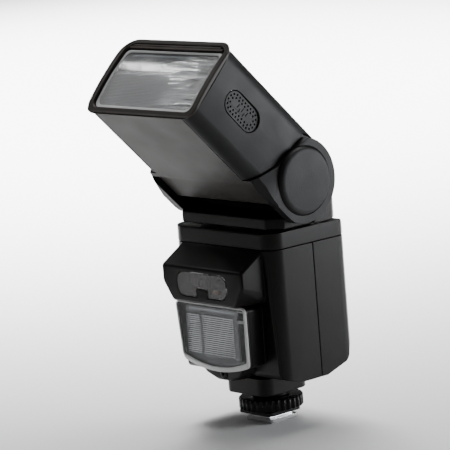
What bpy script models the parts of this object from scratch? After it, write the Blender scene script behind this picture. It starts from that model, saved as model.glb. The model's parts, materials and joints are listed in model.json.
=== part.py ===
"""Speedlight flash with a tilting and swivelling zoom head.

All sizes below are millimetres; solids are built in metres.  +Z is up, the flash
faces -Y, and the origin is the centre of the foot plate's underside.
Head pieces are described in the head's own frame: u runs forward from the tilt
axis, v runs up, and the empty "tilt_axis" turns that frame to its rest angle.
"""
import bpy
import bmesh
from math import cos, pi, radians, sin, tan
from mathutils import Matrix, Vector

MM = 0.001
GAP = 0.3                    # clearance between touching solids
WALL = 2.0                   # moulded plastic wall

# Foot and clamp
FOOT_WIDTH, FOOT_LENGTH, FOOT_THICKNESS = 18.6, 18.0, 2.0
NECK_WIDTH, NECK_LENGTH, NECK_TOP = 12.5, 16.0, 5.8
PLATE_HALF_WIDTH, PLATE_FRONT, PLATE_REAR = 11.5, -12.0, 9.5
PLATE_BOTTOM, PLATE_TOP = 4.1, 5.8
RING_RADIUS, RING_BORE, RING_BOTTOM, RING_TOP = 15.8, 8.6, 6.1, 12.1
RING_RIBS = 30
STEM_RADIUS, COLLAR_RADIUS = 8.0, 9.3
PIN_RADIUS, PIN_Y = 1.0, -6.2
CONTACT_RADIUS = 1.5

# Flange and body
FLANGE_HALF, FLANGE_Y, FLANGE_BOTTOM, FLANGE_TOP = 15.0, -2.0, 15.4, 24.1
BODY_HALF, BODY_BOTTOM, BODY_FRONT_LIFT, SEAM_Z, BODY_TOP = 35.6, 24.4, 3.2, 90.15, 98.1
BODY_FRONT_TOP, BODY_FRONT_BOTTOM = -25.0, -23.0
BODY_REAR_TOP, BODY_REAR_WAIST = 24.8, 26.5
BODY_CORNER = 8.0
SEAM_Y = 2.0

# Snout with the assist lamp, and the sub flash below it
SNOUT_HALF, SNOUT_FRONT, SNOUT_BREAK_Z, SNOUT_BOTTOM = 28.5, -39.0, 81.7, 64.2
SENSOR_HALF, SENSOR_BOTTOM, SENSOR_TOP, SENSOR_CORNER = 17.4, 67.6, 79.1, 4.5
NOTCH_HALF, NOTCH_TOP = 4.0, 71.6
SUB_TOP, SUB_BOTTOM, SUB_SAG, SUB_HALF_TOP, SUB_HALF_BOTTOM = 63.8, 34.4, 4.2, 25.0, 23.6
SUB_FRONT_TOP, SUB_FRONT_BOTTOM, SUB_WALL = -35.5, -34.2, 2.2
SUB_DEPTH, SUB_PANE = 2.4, 1.3
SOCKET_X, SOCKET_Z, SOCKET_RADIUS, SOCKET_FRONT = 0.5, 28.4, 2.5, -30.0

# Inside the body
CELL_RADIUS, CELL_LENGTH, CELL_PITCH = 7.25, 50.5, 15.0
CELL_Y, CELL_Z, CELL_LEFT = 1.0, 47.0, -31.6
BOX_WALL = 1.2
CAPACITOR_RADIUS, CAPACITOR_LENGTH, CAPACITOR_Z, CAPACITOR_Y = 12.6, 52.0, 77.0, 3.0
BOARD_THICKNESS, BOARD_Y, KEY_BOARD_Y = 1.6, -19.6, 20.2

# Rear controls and battery door
LCD_HALF, LCD_BOTTOM, LCD_TOP = 22.0, 66.0, 84.0
KEY_HALF_WIDTH, KEY_HALF_HEIGHT, KEY_PROUD = 4.2, 2.6, 0.9
KEY_ROW_UPPER, KEY_ROW_LOWER = 56.2, 47.2
KEY_PLACES = {
    "mode_key": (-16.0, KEY_ROW_UPPER), "test_key": (0.0, KEY_ROW_UPPER),
    "zoom_key": (16.0, KEY_ROW_UPPER), "minus_key": (-16.0, KEY_ROW_LOWER),
    "plus_key": (0.0, KEY_ROW_LOWER),
}
SWITCH_X = 13.0
DOOR_THICKNESS = 1.8
HINGE_PLACE = (-BODY_HALF, CELL_Y + CELL_PITCH + 1.0, CELL_Z)

# Tilt joint and swivel
PIVOT_Y, PIVOT_Z = -5.4, 121.3
REST_TILT = 45.0
BASE_HALF, BASE_BOTTOM, BASE_LEDGE = 35.8, 99.2, 104.9
BASE_FRONT, BASE_REAR = -21.6, 19.6
CHEEK_TOP, CHEEK_CUT = 112.0, 21.9
SWIVEL_BORE, SWIVEL_RING_RADIUS = 15.0, 17.4
HOUSING_HALF, HOUSING_RADIUS, HOUSING_REAR_RADIUS = 35.4, 13.4, 21.6
AXLE_RADIUS, AXLE_HALF = 2.6, 38.6

# Head, in its own frame
HEAD_HALF, HEAD_CROWN = 37.1, 1.0
HEAD_TOP, HEAD_BOTTOM = 24.2, -18.3
HEAD_TOP_CORNER, HEAD_BOTTOM_CORNER = 9.5, 7.0
SHELL_FRONT = 72.6
LOWER_COVER_HALF = 30.7
EAR_INNER, EAR_OUTER = 36.2, 41.0
CAP_RADIUS, CAP_INNER, CAP_OUTER = 16.3, 39.4, 43.0
WRAP_ANGLE = 110.0
BEZEL_FRONT, BEZEL_HALF, BEZEL_TOP, BEZEL_BOTTOM = 75.0, 38.3, 25.2, -18.9
LENS_HALF, LENS_BOTTOM, LENS_TOP = 34.5, -15.2, 19.4
BULKHEAD = 23.0
CARRIAGE_REAR = 53.0         # with the zoom carriage at its front stop
SCREW_X, SCREW_Z, SCREW_FRONT = 32.0, -8.0, 57.6


# --------------------------------------------------------------------------
# Modelling helpers
# --------------------------------------------------------------------------

# Turns from a piece drawn flat, with its thickness along local z.  A prism's outline is
# (y, z) for axis X and (x, z) for axis Y; a turned piece's height grows along the axis.
OUTLINE_TURNS = {
    "X": Matrix(((0, 0, 1), (1, 0, 0), (0, 1, 0))).to_4x4(),
    "Y": Matrix(((1, 0, 0), (0, 0, -1), (0, 1, 0))).to_4x4(),
    "Z": Matrix.Identity(4),
}
HEIGHT_TURNS = {
    "X": OUTLINE_TURNS["X"],
    "Y": Matrix(((1, 0, 0), (0, 0, 1), (0, -1, 0))).to_4x4(),
    "-Y": OUTLINE_TURNS["Y"],
    "Z": Matrix.Identity(4),
}


def clear_scene():
    for item in list(bpy.data.objects):
        bpy.data.objects.remove(item, do_unlink=True)


def new_collection(name):
    collection = bpy.data.collections.new(name)
    bpy.context.scene.collection.children.link(collection)
    return collection


def rounded(corners, steps=4):
    """Outline through (a, b, radius) corners, each radius drawn as an arc."""
    outline = []
    for index, corner in enumerate(corners):
        point = Vector(corner[:2])
        radius = corner[2] if len(corner) > 2 else 0.0
        if radius == 0.0:
            outline.append(tuple(point))
            continue
        before = (Vector(corners[index - 1][:2]) - point).normalized()
        after = (Vector(corners[(index + 1) % len(corners)][:2]) - point).normalized()
        half = before.angle(after) / 2
        centre = point + (before + after).normalized() * radius / sin(half)
        arm = point + before * radius / tan(half) - centre
        turn = -1 if before.cross(after) > 0 else 1
        for step in range(steps + 1):
            spin = Matrix.Rotation(turn * (pi - 2 * half) * step / steps, 2)
            outline.append(tuple(centre + spin @ arm))
    return outline


def arc(centre, radius, start, end, steps):
    """Points from start to end degrees, counted from the first axis."""
    angles = [radians(start + (end - start) * step / steps) for step in range(steps + 1)]
    return [(centre[0] + radius * cos(a), centre[1] + radius * sin(a)) for a in angles]


def rectangle(left, right, bottom, top, radius=0.0, steps=4):
    corners = [(left, bottom, radius), (right, bottom, radius),
               (right, top, radius), (left, top, radius)]
    return rounded(corners, steps)


def mirrored(half):
    """Close an outline given on the +a side, from its bottom to its top."""
    return half + [(-corner[0],) + tuple(corner[1:]) for corner in reversed(half)]


def solid_from(source, matrix):
    """Replace a curve or profile object with a welded mesh of its shape."""
    bpy.context.view_layer.update()
    evaluated = source.evaluated_get(bpy.context.evaluated_depsgraph_get())
    mesh = bpy.data.meshes.new_from_object(evaluated)
    mesh.transform(matrix)
    work = bmesh.new()
    work.from_mesh(mesh)
    bmesh.ops.remove_doubles(work, verts=work.verts, dist=0.000002)
    bmesh.ops.dissolve_degenerate(work, edges=work.edges, dist=0.000001)
    bmesh.ops.recalc_face_normals(work, faces=work.faces)
    work.to_mesh(mesh)
    work.free()
    name = source.name
    bpy.data.objects.remove(source, do_unlink=True)
    solid = bpy.data.objects.new(name, mesh)
    solid.data.name = name
    PARTS.objects.link(solid)
    return solid


def prism(name, outline, axis, low, high):
    """Extrude a flat outline along axis; an outline may be a list with holes."""
    curve = bpy.data.curves.new(name, "CURVE")
    curve.dimensions = "2D"
    curve.fill_mode = "BOTH"
    curve.extrude = (high - low) / 2 * MM
    loops = outline if isinstance(outline[0], list) else [outline]
    for loop in loops:
        spline = curve.splines.new("POLY")
        spline.points.add(len(loop) - 1)
        for point, (a, b) in zip(spline.points, loop):
            point.co = (a * MM, b * MM, 0, 1)
        spline.use_cyclic_u = True
    source = bpy.data.objects.new(name, curve)
    PARTS.objects.link(source)
    middle = {"X": 0, "Y": 1, "Z": 2}[axis]
    shift = Vector((0, 0, 0))
    shift[middle] = (low + high) / 2 * MM
    return solid_from(source, Matrix.Translation(shift) @ OUTLINE_TURNS[axis])


def turned(name, profile, axis="Z", centre=(0, 0, 0), steps=32):
    """Turn an (r, height) profile about axis through centre."""
    mesh = bpy.data.meshes.new(name)
    points = [(r * MM, 0, h * MM) for r, h in profile]
    edges = [(i, i + 1) for i in range(len(points) - 1)]
    if profile[0][0] > 0:
        edges.append((len(points) - 1, 0))
    mesh.from_pydata(points, edges, [])
    source = bpy.data.objects.new(name, mesh)
    PARTS.objects.link(source)
    screw = source.modifiers.new("turn", "SCREW")
    screw.steps = steps
    screw.render_steps = steps
    screw.use_merge_vertices = True
    screw.merge_threshold = 0.00001
    solid = solid_from(source, Matrix.Translation(Vector(centre) * MM) @ HEIGHT_TURNS[axis])
    solid.data.shade_smooth()
    solid.data.set_sharp_from_angle(angle=radians(30))
    return solid


def rod(name, radius, low, high, axis, centre=(0, 0, 0), steps=24, edge=0.0):
    profile = [(0, high), (radius - edge, high), (radius, high - edge),
               (radius, low + edge), (radius - edge, low), (0, low)]
    if edge == 0.0:
        profile = [(0, high), (radius, high), (radius, low), (0, low)]
    return turned(name, profile, axis, centre, steps)


def block(name, low, high, radius=0.0, axis="Z"):
    """Box between two corners, with its edges along axis rounded."""
    first, second, third = {"X": (1, 2, 0), "Y": (0, 2, 1), "Z": (0, 1, 2)}[axis]
    outline = rectangle(low[first], high[first], low[second], high[second], radius)
    return prism(name, outline, axis, low[third], high[third])


def soften(piece, width, segments=2, angle=40):
    bevel = piece.modifiers.new("soft_edges", "BEVEL")
    bevel.width = width * MM
    bevel.segments = segments
    bevel.limit_method = "ANGLE"
    bevel.angle_limit = radians(angle)
    return piece


def combine(piece, operation, *tools):
    for tool in tools:
        boolean = piece.modifiers.new(operation.lower(), "BOOLEAN")
        boolean.operation = operation
        boolean.solver = "EXACT"
        boolean.object = tool
        tool.hide_render = True
        tool.display_type = "WIRE"
        PARTS.objects.unlink(tool)
        CUTTERS.objects.link(tool)
    return piece


def cut(piece, *tools):
    return combine(piece, "DIFFERENCE", *tools)


def join(piece, *tools):
    return combine(piece, "UNION", *tools)


def meet(piece, *tools):
    return combine(piece, "INTERSECT", *tools)


def attach(piece, parent):
    """Hang a piece and every tool of its Booleans on one parent."""
    piece.parent = parent
    for modifier in piece.modifiers:
        if modifier.type == "BOOLEAN":
            attach(modifier.object, parent)


def axis_empty(name, place, parent=None, tilt=0.0):
    empty = bpy.data.objects.new(name, None)
    empty.empty_display_size = 0.01
    empty.location = Vector(place) * MM
    empty.rotation_euler = (radians(tilt), 0, 0)
    empty.parent = parent
    PARTS.objects.link(empty)
    return empty


def set_origin(piece, place):
    """Put a moving piece's origin at place without moving its shape."""
    shift = Vector(place) * MM
    piece.data.transform(Matrix.Translation(-shift))
    piece.location = shift
    return piece


def paint(piece, colour, roughness, metallic=0.0, alpha=1.0):
    material = bpy.data.materials.new(piece.name)
    material.use_nodes = True
    shader = material.node_tree.nodes["Principled BSDF"]
    shader.inputs["Base Color"].default_value = (*colour, 1.0)
    shader.inputs["Roughness"].default_value = roughness
    shader.inputs["Metallic"].default_value = metallic
    shader.inputs["Alpha"].default_value = alpha
    piece.data.materials.clear()
    piece.data.materials.append(material)
    return piece


BLACK = (0.022, 0.021, 0.022)
SOFT_BLACK = (0.03, 0.028, 0.028)
STEEL = (0.6, 0.6, 0.62)
SILVER = (0.82, 0.83, 0.85)
CLEAR = (0.8, 0.82, 0.83)
SMOKE = (0.1, 0.09, 0.09)
BOARD_GREEN = (0.03, 0.16, 0.07)
BRASS = (0.75, 0.58, 0.25)
CREAM = (0.85, 0.84, 0.8)


def offset(corners, distance):
    """Move every edge of a counter-clockwise outline inwards by distance."""
    moved = []
    for index, corner in enumerate(corners):
        point = Vector(corner[:2])
        into = (point - Vector(corners[index - 1][:2])).normalized()
        out = (Vector(corners[(index + 1) % len(corners)][:2]) - point).normalized()
        normal_in = Vector((-into.y, into.x))
        normal_out = Vector((-out.y, out.x))
        mitre = (normal_in + normal_out) / (1 + normal_in.dot(normal_out))
        radius = corner[2] if len(corner) > 2 else 0.0
        convex = 1 if into.cross(out) > 0 else -1
        new_radius = max(radius - convex * distance, 0.4) if radius else 0.0
        place = point + mitre * distance
        moved.append((place.x, place.y, new_radius))
    return moved


def hull(name, corners):
    """Flat-faced solid around its corner points."""
    work = bmesh.new()
    for corner in corners:
        work.verts.new(Vector(corner) * MM)
    bmesh.ops.convex_hull(work, input=work.verts)
    bmesh.ops.dissolve_limit(work, angle_limit=radians(1), verts=work.verts, edges=work.edges)
    bmesh.ops.recalc_face_normals(work, faces=work.faces)
    mesh = bpy.data.meshes.new(name)
    work.to_mesh(mesh)
    work.free()
    solid = bpy.data.objects.new(name, mesh)
    PARTS.objects.link(solid)
    return solid


def both_sides(points):
    return points + [(-x, y, z) for x, y, z in points]


# --------------------------------------------------------------------------
# Foot: plate, clamp, ring and flange
# --------------------------------------------------------------------------

def shoe_foot():
    foot = block("shoe_foot", (-FOOT_WIDTH / 2, -FOOT_LENGTH / 2, 0),
                 (FOOT_WIDTH / 2, FOOT_LENGTH / 2, FOOT_THICKNESS), 1.2)
    neck = block("foot_neck", (-NECK_WIDTH / 2, -NECK_LENGTH / 2, 1.0),
                 (NECK_WIDTH / 2, NECK_LENGTH / 2, NECK_TOP), 0.8)
    pin_hole = rod("pin_hole", PIN_RADIUS + GAP, -1, NECK_TOP + 1, "Z", (0, PIN_Y, 0), 12)
    contact_hole = rod("contact_hole", CONTACT_RADIUS + GAP, -1, 3, "Z", steps=16)
    cut(join(foot, neck), pin_hole, contact_hole)
    return paint(foot, STEEL, 0.35, 1.0)


def shoe_contact():
    outline = arc((0, 0), CONTACT_RADIUS, 0, 337.5, 15)
    return paint(prism("shoe_contact", outline, "Z", 0, 2.6), BRASS, 0.3, 1.0)


def lock_pin():
    pin = rod("lock_pin", PIN_RADIUS, GAP, 5.2, "Z", (0, PIN_Y, 0), 12)
    return paint(pin, STEEL, 0.3, 1.0)


def clamp_plate():
    plate = block("clamp_plate", (-PLATE_HALF_WIDTH, PLATE_FRONT, PLATE_BOTTOM),
                  (PLATE_HALF_WIDTH, PLATE_REAR, PLATE_TOP), 2.5)
    reach_x = NECK_WIDTH / 2 + GAP
    reach_y = NECK_LENGTH / 2 + GAP
    cut(plate, block("neck_hole", (-reach_x, -reach_y, 0), (reach_x, reach_y, 9), 1.0))
    return paint(plate, SOFT_BLACK, 0.5)


def lock_ring():
    rib_depth = 0.9
    outline = []
    for rib in range(RING_RIBS):
        for share, radius in ((0.0, RING_RADIUS), (0.45, RING_RADIUS),
                              (0.6, RING_RADIUS - rib_depth), (0.85, RING_RADIUS - rib_depth)):
            angle = 2 * pi * (rib + share) / RING_RIBS
            outline.append((radius * cos(angle), radius * sin(angle)))
    bore = arc((0, 0), RING_BORE, 0, 360 - 360 / 32, 31)
    ring = prism("lock_ring", [outline, bore], "Z", RING_BOTTOM, RING_TOP)
    return paint(ring, BLACK, 0.35)


def foot_flange():
    flange = block("foot_flange", (-FLANGE_HALF, FLANGE_Y - FLANGE_HALF, FLANGE_BOTTOM),
                   (FLANGE_HALF, FLANGE_Y + FLANGE_HALF, FLANGE_TOP), 6.0)
    soften(flange, 2.6, 3)
    collar_bottom = RING_TOP + GAP
    stem = turned("foot_stem", [(0, 20), (COLLAR_RADIUS, 20), (COLLAR_RADIUS, collar_bottom),
                                (STEM_RADIUS, collar_bottom), (STEM_RADIUS, RING_BOTTOM),
                                (0, RING_BOTTOM)])
    return paint(join(flange, stem), BLACK, 0.5)


# --------------------------------------------------------------------------
# Body casings
# --------------------------------------------------------------------------

def body_form(name, inset):
    """The body's closed outer form, moved inwards by inset."""
    side = offset([
        (BODY_FRONT_BOTTOM, BODY_BOTTOM + BODY_FRONT_LIFT, 4.0), (-12.0, BODY_BOTTOM),
        (6.0, BODY_BOTTOM), (20.6, 29.0, 4.0),
        (26.0, 40.0, 5.0), (BODY_REAR_WAIST, 43.0), (BODY_REAR_WAIST, 57.0),
        (BODY_REAR_TOP, 90.0), (BODY_REAR_TOP, BODY_TOP, 3.5),
        (BODY_FRONT_TOP, BODY_TOP, 1.0), (BODY_FRONT_TOP, 90.0)], inset)
    plan = rectangle(-BODY_HALF + inset, BODY_HALF - inset, BODY_FRONT_TOP + inset,
                     BODY_REAR_WAIST - inset, BODY_CORNER - inset)
    form = prism(name, plan, "Z", BODY_BOTTOM - 1, BODY_TOP + 1)
    return meet(form, prism(name + "_side", rounded(side, 3), "X", -50, 50))


def snout_form(name, inset, back):
    """Faceted nose: sloped top, upright face, chamfered lower corners."""
    half = SNOUT_HALF - inset
    front = SNOUT_FRONT + inset
    return hull(name, both_sides([
        (half, front, SNOUT_BREAK_Z - inset * 0.6), (half, front, 73.6),
        (22.6 - inset, front, 66.4 + inset * 0.5), (21.8 - inset, front, SNOUT_BOTTOM + inset),
        (half, BODY_FRONT_TOP, SEAM_Z - GAP / 2 - inset), (half, back, SEAM_Z - GAP / 2 - inset),
        (half, back, 68.0), (27.4 - inset, back, SNOUT_BOTTOM + inset)]))


def sensor_outline(grow=0.0):
    corners = [
        (-SENSOR_HALF, SENSOR_BOTTOM, SENSOR_CORNER), (-NOTCH_HALF, SENSOR_BOTTOM),
        (-NOTCH_HALF, NOTCH_TOP), (NOTCH_HALF, NOTCH_TOP), (NOTCH_HALF, SENSOR_BOTTOM),
        (SENSOR_HALF, SENSOR_BOTTOM, SENSOR_CORNER), (SENSOR_HALF, SENSOR_TOP, SENSOR_CORNER),
        (-SENSOR_HALF, SENSOR_TOP, SENSOR_CORNER)]
    return rounded(offset(corners, -grow), 5)


def door_opening(name):
    low = CELL_Z - CELL_PITCH - 1.0
    high = CELL_Z + CELL_PITCH + 1.0
    return block(name, (-50, CELL_Y - CELL_PITCH - 1, low), (-30, CELL_Y + CELL_PITCH + 1, high),
                 1.5, "X")


def front_casing():
    casing = body_form("front_casing", 0.0)
    meet(casing, block("front_half", (-60, -60, 0), (60, SEAM_Y - GAP / 2, SEAM_Z - GAP / 2)))
    snout = soften(snout_form("snout", 0.0, BODY_FRONT_TOP + 3), 1.0, 1, 15)
    housing = prism("flash_housing", sub_flash_outline(0.0), "Y", -45, BODY_FRONT_TOP + 4)
    meet(housing, sub_flash_side("housing_front", SUB_DEPTH + GAP, 0))
    chin = hull("chin", both_sides([(16.5, -30.6, 33.0), (11.8, -29.6, 27.8), (4.0, -29.4, 25.0),
                                    (18.0, -21.5, 33.0), (14.0, -21.5, 27.6), (8.0, -21.5, 25.0)]))
    join(casing, snout, housing, soften(chin, 0.8, 1))
    cut(casing, body_form("front_inside", WALL))
    cut(casing, snout_form("snout_inside", WALL, BODY_FRONT_TOP + 4))
    cut(casing, prism("sensor_hole", sensor_outline(GAP), "Y", SNOUT_FRONT - 2, SNOUT_FRONT + 4))
    cut(casing, prism("housing_inside", sub_flash_outline(SUB_WALL), "Y", -45, BODY_FRONT_TOP - 1))
    cut(casing, block("sub_flash_hole", (-20.6, -30, 36.4), (20.6, -18, 60.6), 1.5, "Y"))
    cut(casing, rod("socket_hole", SOCKET_RADIUS + GAP, -35, -18, "Y", (SOCKET_X, 0, SOCKET_Z)))
    cut(casing, door_opening("front_door_opening"))
    return paint(casing, BLACK, 0.45)


def rear_casing():
    casing = body_form("rear_casing", 0.0)
    meet(casing, block("rear_half", (-60, SEAM_Y + GAP / 2, 0), (60, 60, SEAM_Z - GAP / 2)))
    cut(casing, body_form("rear_inside", WALL))
    cut(casing, block("lcd_hole", (-LCD_HALF + 1.2, 18, LCD_BOTTOM + 1), (LCD_HALF - 1.2, 30,
                                                                        LCD_TOP - 1), 1.5, "Y"))
    for name, (x, z) in KEY_PLACES.items():
        cut(casing, block(name + "_hole", (x - KEY_HALF_WIDTH - GAP, 18, z - KEY_HALF_HEIGHT - GAP),
                          (x + KEY_HALF_WIDTH + GAP, 30, z + KEY_HALF_HEIGHT + GAP), 1.6, "Y"))
    cut(casing, block("switch_slot", (SWITCH_X - 3.0, 18, KEY_ROW_LOWER - 2.0),
                      (SWITCH_X + 8.0, 30, KEY_ROW_LOWER + 2.0), 1.0, "Y"))
    cut(casing, door_opening("rear_door_opening"))
    return paint(casing, BLACK, 0.5)


def top_cover():
    cover = body_form("top_cover", 0.0)
    meet(cover, block("top_slice", (-60, -60, SEAM_Z + GAP / 2), (60, 60, 120)))
    cut(cover, body_form("cover_inside", WALL))
    cut(cover, rod("swivel_hole", SWIVEL_RING_RADIUS + GAP, 80, 110, "Z", steps=40))
    return paint(cover, BLACK, 0.45)


# --------------------------------------------------------------------------
# Windows and lamps on the body's front
# --------------------------------------------------------------------------

def sensor_window():
    window = prism("sensor_window", sensor_outline(), "Y", SNOUT_FRONT - 0.1, SNOUT_FRONT + 1.8)
    return paint(window, SMOKE, 0.1, 0.0, 0.6)


def assist_lamp():
    face = SNOUT_FRONT + 6.0
    lamp = block("assist_lamp", (-13, face, 68.6), (13, face + 4, 78.2), 1.0, "Y")
    for x in (-7.5, 7.5):
        dome = [(0, 3.0), (1.5, 2.6), (2.4, 1.5), (2.6, 0), (2.6, -2), (0, -2)]
        join(lamp, turned("lamp_dome", dome, "-Y", (x, face, 73.6), 16))
    return paint(lamp, (0.25, 0.08, 0.03), 0.25)


def sub_flash_outline(inset):
    """Outline with a bowed lower edge, moved inwards by inset."""
    corners = [(-SUB_HALF_BOTTOM, SUB_BOTTOM, 3.2)]
    for step in range(-3, 4):
        share = step / 4
        corners.append((SUB_HALF_BOTTOM * share, SUB_BOTTOM - SUB_SAG * (1 - share * share)))
    corners += [(SUB_HALF_BOTTOM, SUB_BOTTOM, 3.2), (SUB_HALF_TOP, SUB_TOP, 2.4),
                (-SUB_HALF_TOP, SUB_TOP, 2.4)]
    return rounded(offset(corners, inset), 4)


def sub_flash_side(name, inset, back):
    slope = (SUB_FRONT_TOP - SUB_FRONT_BOTTOM) / (SUB_TOP - SUB_BOTTOM)
    low, high = SUB_BOTTOM - SUB_SAG - 3, SUB_TOP + 3
    front_low = SUB_FRONT_BOTTOM + inset + slope * (low - SUB_BOTTOM)
    front_high = SUB_FRONT_TOP + inset + slope * (high - SUB_TOP)
    return prism(name, [(back, low), (back, high), (front_high, high), (front_low, low)],
                 "X", -40, 40)


def sub_flash_window():
    """Clear cap on the housing's front, its pane thinner than its rim is deep."""
    window = prism("sub_flash_window", sub_flash_outline(0.0), "Y", -45, BODY_FRONT_TOP)
    meet(window, sub_flash_side("window_front", 0.0, 0))
    cut(window, sub_flash_side("window_back", SUB_DEPTH, 0))
    hollow = prism("window_hollow", sub_flash_outline(SUB_WALL), "Y", -45, BODY_FRONT_TOP)
    meet(hollow, sub_flash_side("hollow_front", SUB_PANE, 0))
    return paint(cut(window, hollow), CLEAR, 0.08, 0.0, 0.4)


def sub_flash_reflector():
    bowl = block("sub_flash_reflector", (-19.3, -31.0, 36.8), (19.3, -21.8, 60.2), 0.8, "Y")
    middle = 48.5
    profile = [(-32.0, middle - 11.0), (-32.0, middle + 11.0)]
    for step in range(9):
        share = 1 - step / 4
        profile.append((-23.0 - 8.2 * share * share, middle + 10.6 * share))
    cut(bowl, prism("bowl_hollow", profile, "X", -18.1, 18.1))
    return paint(bowl, SILVER, 0.15, 1.0)


def sub_flash_tube():
    return paint(rod("sub_flash_tube", 1.5, -17.7, 17.7, "X", (0, -26.6, 48.5), 14), CLEAR, 0.05,
                 0.0, 0.5)


def sync_socket():
    profile = [(0, -1.0), (1.4, -1.0), (1.4, 4.0), (2.2, 4.0), (SOCKET_RADIUS, 3.5),
               (SOCKET_RADIUS, -3.0), (0, -3.0)]
    socket = turned("sync_socket", profile, "-Y", (SOCKET_X, SOCKET_FRONT + 4.0, SOCKET_Z), 20)
    return paint(socket, STEEL, 0.3, 1.0)


# --------------------------------------------------------------------------
# Inside the body
# --------------------------------------------------------------------------

def cell_places():
    half = CELL_PITCH / 2
    return [(CELL_Y + y, CELL_Z + z) for z in (-half, half) for y in (-half, half)]


def battery(name, y, z, flip):
    """AA cell lying along X; its nub points left or right."""
    profile = [(0, CELL_LENGTH), (2.7, CELL_LENGTH), (2.7, CELL_LENGTH - 1.2),
               (CELL_RADIUS - 0.6, CELL_LENGTH - 1.2), (CELL_RADIUS, CELL_LENGTH - 1.8),
               (CELL_RADIUS, 0.5), (CELL_RADIUS - 0.5, 0), (0, 0)]
    if flip:
        profile = [(r, CELL_LENGTH - h) for r, h in reversed(profile)]
    cell = turned(name, profile, "X", (CELL_LEFT, y, z), 20)
    return paint(cell, (0.12, 0.13, 0.15), 0.35, 0.5)


def battery_box():
    reach = CELL_PITCH + 0.15
    low = (-BODY_HALF + WALL + GAP, CELL_Y - reach - BOX_WALL, CELL_Z - reach - BOX_WALL)
    high = (CELL_LEFT + CELL_LENGTH + 3.0, CELL_Y + reach + BOX_WALL, CELL_Z + reach + BOX_WALL)
    box = block("battery_box", low, high, 1.5, "X")
    cut(box, block("cell_space", (-60, CELL_Y - reach, CELL_Z - reach),
                   (high[0] - BOX_WALL, CELL_Y + reach, CELL_Z + reach), 0.8, "X"))
    return paint(box, SOFT_BLACK, 0.6)


def battery_contacts():
    left = CELL_LEFT + CELL_LENGTH + GAP
    reach = CELL_PITCH - 0.6
    plate = block("battery_contacts", (left, CELL_Y - reach, CELL_Z - reach),
                  (left + 0.8, CELL_Y + reach, CELL_Z + reach), 1.0, "X")
    return paint(plate, STEEL, 0.3, 1.0)


def battery_door():
    left = -BODY_HALF
    low = CELL_Z - CELL_PITCH - 1.0 + GAP
    high = CELL_Z + CELL_PITCH + 1.0 - GAP
    front = CELL_Y - CELL_PITCH - 1 + GAP
    rear = CELL_Y + CELL_PITCH + 1 - GAP
    door = block("battery_door", (left, front, low), (left + DOOR_THICKNESS, rear, high), 1.3, "X")
    cut(door, block("latch_slot", (left - 1, front + 3.0, CELL_Z - 2.2),
                    (left + 5, front + 9.4, CELL_Z + 2.2), 0.5, "X"))
    set_origin(door, HINGE_PLACE)
    return paint(door, BLACK, 0.5)


def door_latch():
    left = -BODY_HALF
    front = CELL_Y - CELL_PITCH - 1 + GAP
    latch = block("door_latch", (left - 1.1, front + 1.6, CELL_Z - 5),
                  (left - GAP, front + 7.0, CELL_Z + 5), 0.8, "X")
    join(latch, block("latch_tongue", (left - 0.8, front + 3.3, CELL_Z - 1.9),
                      (left + DOOR_THICKNESS - 0.1, front + 5.9, CELL_Z + 1.9), 0.4, "X"))
    set_origin(latch, (left, front + 4.3, CELL_Z))
    return paint(latch, SOFT_BLACK, 0.45)


def main_capacitor():
    half = CAPACITOR_LENGTH / 2
    profile = [(0, half), (10.6, half), (11.2, half - 0.6), (CAPACITOR_RADIUS, half - 1.0),
               (CAPACITOR_RADIUS, -half + 0.8), (CAPACITOR_RADIUS - 0.8, -half), (0, -half)]
    can = turned("main_capacitor", profile, "X", (0, CAPACITOR_Y, CAPACITOR_Z), 28)
    return paint(can, (0.02, 0.02, 0.03), 0.35)


def circuit_board():
    rear = BOARD_Y + BOARD_THICKNESS
    board = block("circuit_board", (-31, BOARD_Y, 30.5), (31, rear, 88.0), 1.0, "Y")
    join(board, block("transformer", (-24, rear - 0.2, 69.0), (-10, rear + 6.5, 81.0), 1.0, "Y"))
    join(board, block("trigger_coil", (8, rear - 0.2, 70.0), (16, rear + 5.0, 78.0), 0.8, "Y"))
    join(board, rod("choke", 4.0, rear - 0.2, rear + 6.0, "Y", (25, 0, 72), 16))
    return paint(board, BOARD_GREEN, 0.4)


def lcd_module():
    module = block("lcd_module", (-LCD_HALF, 18.4, LCD_BOTTOM - 1.5),
                   (LCD_HALF, 22.6, LCD_TOP + 1.5), 1.0, "Y")
    return paint(module, (0.30, 0.36, 0.26), 0.3)


def lcd_window():
    reach = LCD_HALF - 1.2 - GAP
    window = block("lcd_window", (-reach, 23.2, LCD_BOTTOM + 1 + GAP),
                   (reach, 24.7, LCD_TOP - 1 - GAP), 1.2, "Y")
    return paint(window, (0.2, 0.22, 0.2), 0.08, 0.0, 0.5)


def key_board():
    board = block("key_board", (-24, KEY_BOARD_Y - 1.2, KEY_ROW_LOWER - 5),
                  (26, KEY_BOARD_Y + 0.4, KEY_ROW_UPPER + 5), 1.0, "Y")
    return paint(board, BOARD_GREEN, 0.4)


def key(name, x, z):
    """Push key with a flange that stays behind the casing wall."""
    inner = BODY_REAR_WAIST - WALL
    cap = block(name, (x - KEY_HALF_WIDTH, inner - 2.0, z - KEY_HALF_HEIGHT),
                (x + KEY_HALF_WIDTH, BODY_REAR_WAIST + KEY_PROUD, z + KEY_HALF_HEIGHT), 1.4, "Y")
    soften(cap, 0.4, 1)
    join(cap, block(name + "_flange", (x - KEY_HALF_WIDTH - 0.9, inner - 2.4, z - 3.4),
                    (x + KEY_HALF_WIDTH + 0.9, inner - 1.2, z + 3.4), 1.0, "Y"))
    set_origin(cap, (x, BODY_REAR_WAIST, z))
    return paint(cap, (0.09, 0.09, 0.095), 0.6)


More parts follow.
